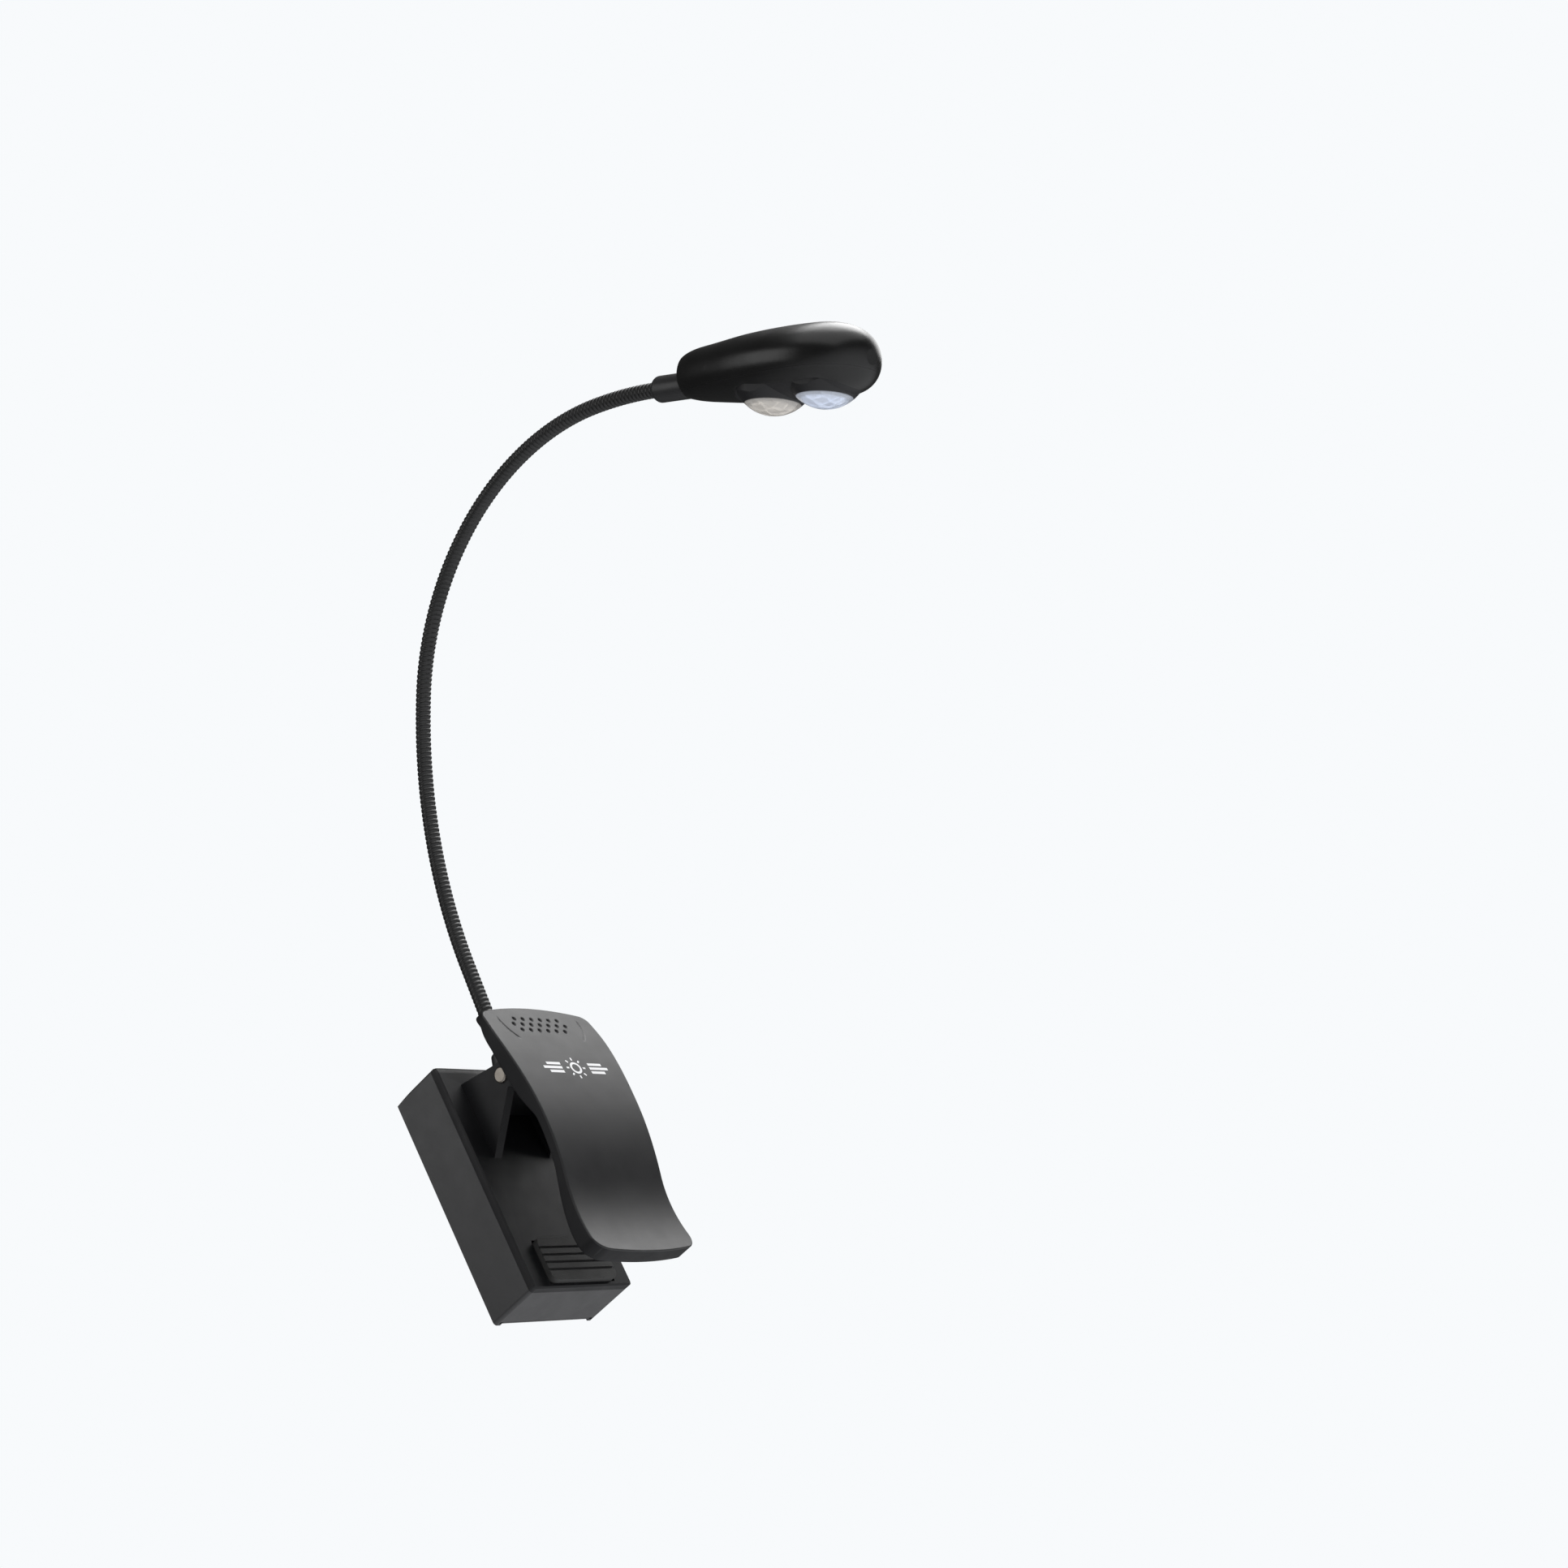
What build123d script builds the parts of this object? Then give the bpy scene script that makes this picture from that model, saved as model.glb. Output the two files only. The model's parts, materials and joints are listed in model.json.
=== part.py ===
"""Clip-on reading lamp: spring clip with battery housing, ribbed gooseneck and two-LED head.

Units are millimetres. +Z is up, -Y is the front of the clip and X = 0 is its plane of symmetry.
The origin is the centre of the rear jaw pad's face, the face that bears on a clamped board.
"""
from build123d import *
from math import asin, cos, degrees, radians, sin
import os

os.makedirs("parts", exist_ok=True)

# ---------------------------------------------------------------- driving dimensions
JAW_GAP = 20.0  # between the pads at rest
PIN_Y, PIN_Z = -14.3, 57.0  # hinge axis, parallel to X
RUN = 0.05  # radial running clearance
SEAT = 0.05  # clearance around a seated piece

# hinge
PIN_R = 1.5
PIN_HEAD_R, PIN_HEAD_T = 2.5, 0.9
EAR_OUT, EAR_IN = 13.5, 10.4  # housing ears, distance from X = 0
LUG_OUT, LUG_IN = 10.0, 7.4  # front plate's lugs, inside the ears
EAR_R = 4.5
LUG_R = 3.9

# front plate, side profile: three tangent arcs of its front face
APEX_Y, APEX_Z = -29.9, 37.0
UPPER_R, LOWER_R, FLARE_R = 135.0, 96.0, 46.5
BEND_Z = 12.0  # where the lower arc turns into the flare
PLATE_T = 2.2
RIM_T, RIM_DEPTH = 1.6, 3.4
PLATE_TOP, PLATE_SHOULDER, PLATE_TIP = 76.0, 73.0, -13.6
TIP_ARCH = 2.1  # how far the tip's edge bows down below its corners
PLATE_SIDES = [(23.1, PLATE_SHOULDER), (23.75, 61), (22.1, 37), (21.05, 10), (21.7, PLATE_TIP)]
TOP_CORNER_R, TIP_CORNER_R = 3.8, 5.5

# dimples and grooves of the thumb grip
DIMPLE_R, DIMPLE_DEPTH = 0.95, 0.5
DIMPLE_PITCH_X, DIMPLE_PITCH_Z = 3.6, 2.35
DIMPLE_Z = 66.0
GROOVE_X, GROOVE_Z, GROOVE_R, GROOVE_W, GROOVE_DEPTH = 17.2, 67.0, 13.0, 0.7, 0.45
GROOVE_ANGLE = 44.0

# battery housing
HALF_W = 21.2
FRONT_Y, SEAM_Y, BACK_Y = 2.0, 4.6, 22.7
BOTTOM_Z, SHOULDER_Z, ARCH = -9.0, 71.8, 1.3
BACK_DROP = 2.2  # how much lower the top is at the back
WALL = 1.8
CORNER_R = 3.0
BAY_TOP = 48.6  # top of the battery bay
SHELF_T = 1.6

# cells, AAA
CELL_R, CELL_L = 5.25, 43.6
NUB_R, NUB_L = 1.9, 0.9
CELL_PITCH, CELL_Y, CELL_Z = 11.5, 12.7, 1.0

# battery cover
COVER_HALF, COVER_TOP, COVER_T = 18.8, 51.5, 1.8
TONGUE, TONGUE_T = 1.2, 0.9

# screws
SCREW_X, SCREW_TOP_Z, SCREW_LOW_Z = 17.5, 57.5, -5.2
SCREW_R, SCREW_HEAD_R, SCREW_HEAD_T = 0.8, 1.5, 1.2
SCREW_SEAT_Y = 17.0
BOSS_R, POST_R, POST_Y = 2.2, 1.7, 8.0

# contacts
CONTACT_T = 0.4
CONTACT_SPRING_R, CONTACT_WIRE_R, CONTACT_TURNS = 2.6, 0.3, 3.5

# electronics
BOARD_Y, BOARD_T, BOARD_HALF_W = 16.0, 1.2, 13.5
BOARD_LOW, BOARD_TOP = 51.5, 67.5
SWITCH_X, SWITCH_Z, SWITCH_L, SWITCH_H, SWITCH_THROW = 0.0, 61.0, 9.6, 5.0, 4.0
KNOB_W, KNOB_H, KNOB_STEM, KNOB_PROUD = 4.2, 3.4, 1.6, 1.2

# torsion spring
COIL_R, COIL_WIRE_R, COIL_PITCH, COIL_TURNS = 2.75, 0.6, 1.32, 9.0
REAR_LEG, FRONT_LEG = 16.0, 8.0
LEDGE_W, LEDGE_L, LEDGE_TOP = 2.6, 8.0, 2.1

# jaw pads
PAD_HALF_W, PAD_HALF_H, PAD_SUNK = 14.0, 7.6, 0.8
PAD_CORNER_R = 2.5
RIB_PITCH, RIB_GROOVE_W, RIB_GROOVE_D = 2.6, 0.9, 0.5

# gooseneck, as the arcs of its centreline from the mouth of the gland
NECK_R = 2.5
NECK_Y, NECK_Z = PIN_Y + 7.4, PIN_Z + 14.0
NECK_LEAN = 4.5  # degrees forward of +Z at the gland
NECK_FOOT = 32.5  # straight length before the first arc
NECK_ARCS = [(177.0, 30.6), (86.2, 82.6), (150.0, 10.5)]  # radius, degrees
SPANS = 12
BALL_R, SHOULDER_BACK = 2.0, 1.1
IN_GLAND, IN_COLLAR = 12.0, 10.0
GLAND_R, GLAND_TOP_R, GLAND_L = 4.4, 3.7, 11.6
LEAD_R, LEAD_HOLE_R, LEAD_GAP, LEAD_Z = 0.5, 1.3, 1.1, 56.6

# head, in its own axes: s along the head, h up from its axis
COLLAR_R, COLLAR_L, COLLAR_BORE_R = 4.2, 13.4, 2.65
HEAD_STATIONS = [  # s, half width, top h, bottom h
    (0.0, 6.6, 9.6, -4.2),
    (4.0, 8.3, 10.6, -5.2),
    (12.0, 10.4, 11.3, -6.4),
    (25.0, 13.2, 12.3, -7.9),
    (40.0, 15.0, 12.8, -9.0),
    (52.0, 15.0, 12.7, -9.5),
    (60.0, 13.4, 12.0, -9.5),
    (66.0, 10.4, 9.9, -8.4),
    (69.4, 6.8, 7.0, -5.8),
]
HEAD_NOSE = 71.1
SHELL_T = 1.6
SPLIT_H = -3.0
LENS_S0, LENS_S1, LENS_HALF_W = 22.0, 66.0, 10.2
LENS_T = 1.5
DOME_S = (34.0, 54.0)
DOME_R, DOME_TIP, DOME_WALL = 12.7, -12.9, 1.3
NOSE_R, NOSE_H = 2.4, 0.6
LED_R, LED_L = 2.5, 5.2
BOARD_H, LED_BOARD_T, LED_BOARD_W = -0.6, 1.2, 14.0
HEAD_POSTS, HEAD_POST_R = (25.5, 62.6), 1.8
REFLECTOR_MOUTH_H, REFLECTOR_MOUTH_R = -5.4, 7.0

lean = radians(NECK_LEAN)
gland_plane = Plane(origin=(0, NECK_Y, NECK_Z), x_dir=(1, 0, 0), z_dir=(0, -sin(lean), cos(lean)))

SIDE = Plane.YZ  # side profiles: local x is Y, local y is Z


def save(part, name):
    """Label a finished piece and write it as its own STEP file."""
    part.label = name
    export_step(part, f"parts/{name}.step")


# ---------------------------------------------------------------- front plate
bend_sin = (APEX_Z - BEND_Z) / LOWER_R
bend_angle = degrees(asin(bend_sin))
bend_cos = cos(radians(bend_angle))
upper_centre = (APEX_Y + UPPER_R, APEX_Z)
lower_centre = (APEX_Y + LOWER_R, APEX_Z)
flare_centre = (
    lower_centre[0] - (LOWER_R + FLARE_R) * bend_cos,
    lower_centre[1] - (LOWER_R + FLARE_R) * bend_sin,
)
UPPER_SWEEP = 20.0  # degrees of arc, past the plate's ends
FLARE_SWEEP = 30.0


def plate_band(front, back):
    """A wide slab between two offsets of the plate's front face, each measured towards the back."""
    with BuildPart() as slab:
        with BuildSketch(SIDE):
            with BuildLine():
                ends = []
                for depth in (front, back):
                    upper = CenterArc(upper_centre, UPPER_R - depth, 180 - UPPER_SWEEP, UPPER_SWEEP)
                    CenterArc(lower_centre, LOWER_R - depth, 180, bend_angle)
                    flare = CenterArc(
                        flare_centre, FLARE_R + depth, bend_angle, -bend_angle - FLARE_SWEEP
                    )
                    ends.append((upper @ 0, flare @ 1))
                Line(ends[0][0], ends[1][0])
                Line(ends[0][1], ends[1][1])
            make_face()
        extrude(amount=30, both=True)
    return slab.part


def front_face_y(z):
    """Y of the plate's front face at a height on its upper arc."""
    return upper_centre[0] - (UPPER_R**2 - (z - APEX_Z) ** 2) ** 0.5


def plate_prism(inset):
    """Extrude the plate's outline from the front, with its sides drawn in by an inset."""
    sides = [(x - inset, z) for x, z in PLATE_SIDES]
    sides[0] = (sides[0][0], PLATE_SHOULDER - inset)
    sides[-1] = (sides[-1][0], PLATE_TIP + inset)
    with BuildPart() as prism:
        with BuildSketch(Plane.XZ):
            with BuildLine():
                right = Spline(*sides)
                mirror(right, about=Plane.YZ)
                ThreePointArc(right @ 0, (0, PLATE_TOP - inset), (-sides[0][0], sides[0][1]))
                low = (0, sides[-1][1] - TIP_ARCH)
                ThreePointArc(right @ 1, low, (-sides[-1][0], sides[-1][1]))
            make_face()
        extrude(amount=60)
        fillet(prism.edges().filter_by(Axis.Y).group_by(Axis.Z)[-1], TOP_CORNER_R - inset)
        fillet(prism.edges().filter_by(Axis.Y).group_by(Axis.Z)[0], TIP_CORNER_R - inset)
    return prism.part


whole_prism = plate_prism(0)
core_prism = plate_prism(RIM_T)

with BuildPart() as plate_face:
    add(plate_band(0, PLATE_T))
    add(whole_prism, mode=Mode.INTERSECT)

with BuildPart() as plate_rim:
    add(plate_band(0, RIM_DEPTH))
    with BuildSketch(SIDE):
        with BuildLine():
            Polyline(
                (PIN_Y - 12.0, PIN_Z + 13.0),
                (PIN_Y - 8.6, PIN_Z + 12.0),
                (PIN_Y - 8.8, PIN_Z + 1.0),
                (PIN_Y - 9.6, PIN_Z - 14.0),
                (PIN_Y - 12.4, PIN_Z - 25.0),
                (PIN_Y - 14.6, PIN_Z - 25.0),
                close=True,
            )
        make_face()
    extrude(amount=30, both=True)
    add(plate_band(0, 20), mode=Mode.INTERSECT)
    add(whole_prism, mode=Mode.INTERSECT)
    add(core_prism, mode=Mode.SUBTRACT)

with BuildPart() as grooves:
    with BuildSketch(Plane.XZ.offset(10)):
        for turn in (0, 180):
            centre = ((GROOVE_X - GROOVE_R) * cos(radians(turn)), GROOVE_Z)
            start = turn - GROOVE_ANGLE / 2
            with BuildLine():
                outer = CenterArc(centre, GROOVE_R + GROOVE_W / 2, start, GROOVE_ANGLE)
                inner = CenterArc(centre, GROOVE_R - GROOVE_W / 2, start, GROOVE_ANGLE)
                Line(outer @ 0, inner @ 0)
                Line(outer @ 1, inner @ 1)
            make_face()
    extrude(amount=50)
    add(plate_band(-1, GROOVE_DEPTH), mode=Mode.INTERSECT)

with BuildPart() as front_plate:
    add(plate_face.part)
    add(plate_rim.part)
    for near, far in ((LUG_IN, LUG_OUT), (-LUG_OUT, -LUG_IN)):
        with BuildSketch(SIDE.offset(near)):
            with BuildLine():
                Polyline(
                    (PIN_Y - 1.0, PIN_Z + LUG_R - 0.2),
                    (PIN_Y - 10.0, PIN_Z + 9.0),
                    (front_face_y(PIN_Z + 9.0) + PLATE_T / 2, PIN_Z + 9.0),
                    (front_face_y(PIN_Z - 14.0) + PLATE_T / 2, PIN_Z - 14.0),
                    (PIN_Y - 10.0, PIN_Z - 14.0),
                    (PIN_Y - 1.0, PIN_Z - LUG_R + 0.2),
                    close=True,
                )
            make_face()
            with Locations((PIN_Y, PIN_Z)):
                Circle(LUG_R)
        extrude(amount=far - near)
    # ledge under the spring's front leg
    with Locations((LUG_IN - LEDGE_W / 2, PIN_Y - LUG_R - LEDGE_L / 2, PIN_Z + LEDGE_TOP - 1)):
        Box(LEDGE_W, LEDGE_L, 2)
    with BuildSketch(SIDE):
        with Locations((PIN_Y, PIN_Z)):
            Circle(PIN_R + RUN)
    extrude(amount=LUG_OUT + 1, both=True, mode=Mode.SUBTRACT)
    add(grooves.part, mode=Mode.SUBTRACT)
    ball_r = (DIMPLE_R**2 + DIMPLE_DEPTH**2) / (2 * DIMPLE_DEPTH)
    for row in (-1, 0, 1):
        z = DIMPLE_Z + row * DIMPLE_PITCH_Z
        with Locations((0, front_face_y(z) - ball_r + DIMPLE_DEPTH, z)):
            with GridLocations(DIMPLE_PITCH_X, 1, 7 if row == 0 else 6, 1):
                Sphere(ball_r, mode=Mode.SUBTRACT)
save(front_plate.part, "front_plate")

# ---------------------------------------------------------------- jaw pads


def jaw_pad(low_y, high_y, face_y):
    """A rounded pad with grip grooves across the face at face_y."""
    with BuildPart() as pad:
        with Locations((0, (low_y + high_y) / 2, 0)):
            Box(2 * PAD_HALF_W, high_y - low_y, 2 * PAD_HALF_H)
        fillet(pad.edges().filter_by(Axis.Y), PAD_CORNER_R)
        with Locations((0, face_y, 0)):
            for step in (-1.5, -0.5, 0.5, 1.5):
                with Locations((0, 0, step * RIB_PITCH)):
                    Box(2 * PAD_HALF_W, 2 * RIB_GROOVE_D, RIB_GROOVE_W, mode=Mode.SUBTRACT)
    return pad.part


with BuildPart() as front_jaw_pad:
    add(jaw_pad(-JAW_GAP - 4, -JAW_GAP, -JAW_GAP))
    add(plate_band(-5, PLATE_T), mode=Mode.SUBTRACT)
save(front_jaw_pad.part, "front_jaw_pad")

with BuildPart() as rear_jaw_pad:
    add(jaw_pad(0, FRONT_Y + PAD_SUNK, 0))
save(rear_jaw_pad.part, "rear_jaw_pad")

# ---------------------------------------------------------------- battery housing


def housing_block(inset, front, back):
    """The housing's outer form drawn in by an inset, between two values of Y."""
    with BuildPart() as block:
        with BuildSketch(Plane.XZ.offset(-front)):
            with BuildLine():
                Polyline(
                    (-HALF_W + inset, SHOULDER_Z - inset),
                    (-HALF_W + inset, BOTTOM_Z + inset),
                    (HALF_W - inset, BOTTOM_Z + inset),
                    (HALF_W - inset, SHOULDER_Z - inset),
                )
                ThreePointArc(
                    (-HALF_W + inset, SHOULDER_Z - inset),
                    (0, SHOULDER_Z + ARCH - inset),
                    (HALF_W - inset, SHOULDER_Z - inset),
                )
            make_face()
        extrude(amount=-(back - front))
        fillet(block.edges().filter_by(Axis.Y), max(1.2 - inset, 0.4))
        with BuildSketch(SIDE.offset(-HALF_W)) as side_view:
            with BuildLine():
                Polyline(
                    (FRONT_Y, SHOULDER_Z + ARCH - inset + 0.1),
                    (BACK_Y - inset, SHOULDER_Z + ARCH - BACK_DROP - inset),
                    (BACK_Y - inset, BOTTOM_Z + inset),
                    (FRONT_Y, BOTTOM_Z + inset),
                    close=True,
                )
            make_face()
            back_corners = side_view.vertices().group_by(Axis.Y)[-1]
            fillet(back_corners, CORNER_R + 0.6 - min(inset, 1.5))
        extrude(amount=2 * HALF_W, mode=Mode.INTERSECT)
    return block.part


with BuildPart() as housing_front:
    add(housing_block(0, FRONT_Y, SEAM_Y))
    chamfer(housing_front.faces().sort_by(Axis.Y)[0].outer_wire().edges(), 0.5)
    add(housing_block(WALL + SEAT, SEAM_Y, SEAM_Y + 1.6))
    add(housing_block(WALL + 1.2, SEAM_Y - 0.01, SEAM_Y + 2), mode=Mode.SUBTRACT)
    for near, far in ((EAR_IN, EAR_OUT), (-EAR_OUT, -EAR_IN)):
        with BuildSketch(SIDE.offset(near)):
            with BuildLine():
                Polyline(
                    (PIN_Y + 0.5, PIN_Z + EAR_R - 0.1),
                    (FRONT_Y + 0.5, PIN_Z + 8.0),
                    (FRONT_Y + 0.5, PIN_Z - 20.0),
                    (PIN_Y - 0.5, PIN_Z - EAR_R + 0.1),
                    close=True,
                )
            make_face()
            with Locations((PIN_Y, PIN_Z)):
                Circle(EAR_R)
        extrude(amount=far - near)
    with Locations((0, (PIN_Y + EAR_R + FRONT_Y + 0.5) / 2, PIN_Z - 0.6)):
        Box(2 * EAR_IN + 1, FRONT_Y + 0.5 - PIN_Y - EAR_R, 5.2)
    with BuildSketch(SIDE):
        with Locations((PIN_Y, PIN_Z)):
            Circle(PIN_R)
    extrude(amount=EAR_OUT + 1, both=True, mode=Mode.SUBTRACT)
    with Locations((0, FRONT_Y + PAD_SUNK / 2, 0)):
        Box(2 * PAD_HALF_W, PAD_SUNK, 2 * PAD_HALF_H, mode=Mode.SUBTRACT)
    with BuildSketch(Plane.XZ.offset(-SEAM_Y)):
        for z in (SCREW_TOP_Z, SCREW_LOW_Z):
            with Locations((SCREW_X, z), (-SCREW_X, z)):
                Circle(POST_R)
    extrude(amount=-(POST_Y - SEAM_Y))
    with BuildSketch(Plane.XZ.offset(-SEAM_Y - 1)):
        for z in (SCREW_TOP_Z, SCREW_LOW_Z):
            with Locations((SCREW_X, z), (-SCREW_X, z)):
                Circle(SCREW_R)
    extrude(amount=-10, mode=Mode.SUBTRACT)
    # seat for the foot of the neck, and a way through for its leads
    with BuildSketch(gland_plane):
        Circle(NECK_R + SEAT)
    extrude(amount=-IN_GLAND, mode=Mode.SUBTRACT)
    with BuildSketch(Plane.XZ.offset(-NECK_Y)):
        with Locations((0, LEAD_Z)):
            Circle(LEAD_HOLE_R)
    extrude(amount=-(SEAM_Y + 1 - NECK_Y), mode=Mode.SUBTRACT)
save(housing_front.part, "housing_front")

with BuildPart() as housing_rear:
    add(housing_block(0, SEAM_Y, BACK_Y))
    chamfer(housing_rear.faces().sort_by(Axis.Y)[0].outer_wire().edges(), 0.2)
    add(housing_block(WALL, SEAM_Y, BACK_Y - WALL), mode=Mode.SUBTRACT)
    # shelf between the battery bay and the electronics bay
    with Locations((0, (SEAM_Y + 2 + BACK_Y - WALL) / 2, BAY_TOP + SHELF_T / 2)):
        Box(2 * (HALF_W - WALL) + 0.6, BACK_Y - WALL - SEAM_Y - 2 + 0.6, SHELF_T)
    # doorway for the sliding cover, open at the bottom, with a groove in each side wall
    with Locations((0, BACK_Y, (COVER_TOP + BOTTOM_Z) / 2)):
        Box(2 * COVER_HALF, 2 * COVER_T + 0.1, COVER_TOP - BOTTOM_Z + 0.01, mode=Mode.SUBTRACT)
    with Locations((0, BACK_Y - COVER_T + TONGUE_T / 2, (COVER_TOP + BOTTOM_Z) / 2)):
        Box(2 * (COVER_HALF + TONGUE), TONGUE_T, COVER_TOP - BOTTOM_Z + 0.01, mode=Mode.SUBTRACT)
    for z, boss_back in ((SCREW_TOP_Z, BACK_Y - WALL + 0.3), (SCREW_LOW_Z, BACK_Y - COVER_T - 0.5)):
        with BuildSketch(Plane.XZ.offset(-POST_Y)):
            with Locations((SCREW_X, z), (-SCREW_X, z)):
                Circle(BOSS_R)
        extrude(amount=-(boss_back - POST_Y))
    with BuildSketch(Plane.XZ.offset(-POST_Y + 1)):
        with Locations(*[(x, z) for x in (-SCREW_X, SCREW_X) for z in (SCREW_LOW_Z, SCREW_TOP_Z)]):
            Circle(SCREW_R + 0.1)
    extrude(amount=-20, mode=Mode.SUBTRACT)
    for z in (SCREW_LOW_Z, SCREW_TOP_Z):
        with BuildSketch(Plane.XZ.offset(-SCREW_SEAT_Y)):
            with Locations((SCREW_X, z), (-SCREW_X, z)):
                Circle(SCREW_HEAD_R + 0.15)
        extrude(amount=-10, mode=Mode.SUBTRACT)
    with Locations((SWITCH_X, BACK_Y, SWITCH_Z)):
        Box(KNOB_W + SWITCH_THROW + 0.8, 3 * WALL, KNOB_H + 0.6, mode=Mode.SUBTRACT)
save(housing_rear.part, "housing_rear")

with BuildPart() as battery_cover:
    cover_z = (COVER_TOP - 0.2 + BOTTOM_Z) / 2
    cover_h = COVER_TOP - 0.2 - BOTTOM_Z
    with Locations((0, BACK_Y - COVER_T / 2 + SEAT / 2, cover_z)):
        Box(2 * (COVER_HALF - 0.15), COVER_T - SEAT, cover_h)
    fillet(battery_cover.edges().filter_by(Axis.X).group_by(Axis.Y)[-1].sort_by(Axis.Z)[0], CORNER_R / 2)
    with Locations((0, BACK_Y - COVER_T + TONGUE_T / 2, cover_z + 0.8)):
        Box(2 * (COVER_HALF + TONGUE - 0.15), TONGUE_T - 2 * SEAT, cover_h - 1.6)
    for step in range(5):
        with Locations((0, BACK_Y, COVER_TOP - 7 - 1.8 * step)):
            Box(13, 2 * RIB_GROOVE_D, 0.8, mode=Mode.SUBTRACT)
save(battery_cover.part, "battery_cover")

for number, cell_x in enumerate((-CELL_PITCH, 0, CELL_PITCH), start=1):
    with BuildPart() as cell:
        with BuildSketch(Plane.XY.offset(CELL_Z)):
            with Locations((cell_x, CELL_Y)):
                Circle(CELL_R)
        extrude(amount=CELL_L)
        fillet(cell.edges().filter_by(GeomType.CIRCLE), 0.4)
        with BuildSketch(Plane.XY.offset(CELL_Z + CELL_L)):
            with Locations((cell_x, CELL_Y)):
                Circle(NUB_R)
        extrude(amount=NUB_L)
    save(cell.part, f"battery_cell_{number}")

with BuildPart() as contact_plates:
    with GridLocations(CELL_PITCH, 1, 3, 1):
        with Locations((0, CELL_Y, CELL_Z + CELL_L + NUB_L + CONTACT_T / 2 + 0.02)):
            Box(8, 8, CONTACT_T)
        with Locations((0, CELL_Y, BOTTOM_Z + WALL + CONTACT_T / 2)):
            Box(8, 8, CONTACT_T)
save(contact_plates.part, "contact_plates")

spring_low = BOTTOM_Z + WALL + CONTACT_T
spring_coil = Helix(
    pitch=(CELL_Z - spring_low - 2 * CONTACT_WIRE_R - 0.1) / CONTACT_TURNS,
    height=CELL_Z - spring_low - 2 * CONTACT_WIRE_R - 0.1,
    radius=CONTACT_SPRING_R,
    center=(0, CELL_Y, spring_low + CONTACT_WIRE_R + 0.05),
)
with BuildPart() as one_contact_spring:
    with BuildSketch(Plane(origin=spring_coil @ 0, z_dir=spring_coil % 0)):
        Circle(CONTACT_WIRE_R)
    sweep(path=spring_coil, is_frenet=True)
with BuildPart() as contact_springs:
    with GridLocations(CELL_PITCH, 1, 3, 1):
        add(one_contact_spring.part)
save(contact_springs.part, "contact_springs")

with BuildPart() as housing_screws:
    for z in (SCREW_LOW_Z, SCREW_TOP_Z):
        for x in (-SCREW_X, SCREW_X):
            with BuildSketch(Plane.XZ.offset(-SEAM_Y - 1.0)):
                with Locations((x, z)):
                    Circle(SCREW_R)
            extrude(amount=-(SCREW_SEAT_Y - SEAM_Y - 1.0))
            with BuildSketch(Plane.XZ.offset(-SCREW_SEAT_Y)):
                with Locations((x, z)):
                    Circle(SCREW_HEAD_R)
            extrude(amount=-SCREW_HEAD_T)
            with Locations((x, SCREW_SEAT_Y + SCREW_HEAD_T, z)):
                Box(0.4, 1.2, 2.0, mode=Mode.SUBTRACT)
                Box(2.0, 1.2, 0.4, mode=Mode.SUBTRACT)
save(housing_screws.part, "housing_screws")

# ---------------------------------------------------------------- electronics
with BuildPart() as circuit_board:
    with Locations((0, BOARD_Y, (BOARD_LOW + BOARD_TOP) / 2)):
        Box(2 * BOARD_HALF_W, BOARD_T, BOARD_TOP - BOARD_LOW)
    with Locations((-8, BOARD_Y - BOARD_T / 2 - 0.6, BOARD_LOW + 5)):
        Box(4, 1.2, 3)
    with Locations((7, BOARD_Y - BOARD_T / 2 - 0.9, BOARD_LOW + 9)):
        Box(3.2, 1.8, 3.2)
save(circuit_board.part, "circuit_board")

switch_front = BOARD_Y + BOARD_T / 2
switch_back = BACK_Y - WALL - 0.1
with BuildPart() as switch_body:
    with Locations((SWITCH_X, (switch_front + switch_back) / 2, SWITCH_Z)):
        Box(SWITCH_L, switch_back - switch_front, SWITCH_H)
    with Locations((SWITCH_X, switch_back, SWITCH_Z)):
        Box(KNOB_STEM + SWITCH_THROW + 0.6, 1.6, KNOB_STEM + 0.4, mode=Mode.SUBTRACT)
save(switch_body.part, "switch_body")

knob_x = SWITCH_X - SWITCH_THROW / 2
with BuildPart() as switch_knob:
    with Locations((knob_x, (switch_back - 0.6 + BACK_Y) / 2, SWITCH_Z)):
        Box(KNOB_STEM, BACK_Y - switch_back + 0.6, KNOB_STEM)
    with Locations((knob_x, BACK_Y - WALL / 2 + KNOB_PROUD / 2, SWITCH_Z)):
        Box(KNOB_W, WALL + KNOB_PROUD, KNOB_H)
    fillet(switch_knob.faces().sort_by(Axis.Y)[-1].edges(), 0.4)
    for step in (-1, 0, 1):
        with Locations((knob_x + step, BACK_Y + KNOB_PROUD, SWITCH_Z)):
            Box(0.4, 0.6, KNOB_H, mode=Mode.SUBTRACT)
save(switch_knob.part, "switch_knob")

# ---------------------------------------------------------------- hinge
with BuildPart() as hinge_pin:
    with BuildSketch(SIDE):
        with Locations((PIN_Y, PIN_Z)):
            Circle(PIN_R)
    extrude(amount=EAR_OUT, both=True)
    for side in (-1, 1):
        with BuildSketch(SIDE.offset(side * EAR_OUT)):
            with Locations((PIN_Y, PIN_Z)):
                Circle(PIN_HEAD_R)
        extrude(amount=side * PIN_HEAD_T)
    rims = hinge_pin.edges().filter_by(GeomType.CIRCLE).group_by(Axis.X)
    fillet([rims[0].sort_by(SortBy.RADIUS)[-1], rims[-1].sort_by(SortBy.RADIUS)[-1]], 0.5)
save(hinge_pin.part, "hinge_pin")

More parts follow.
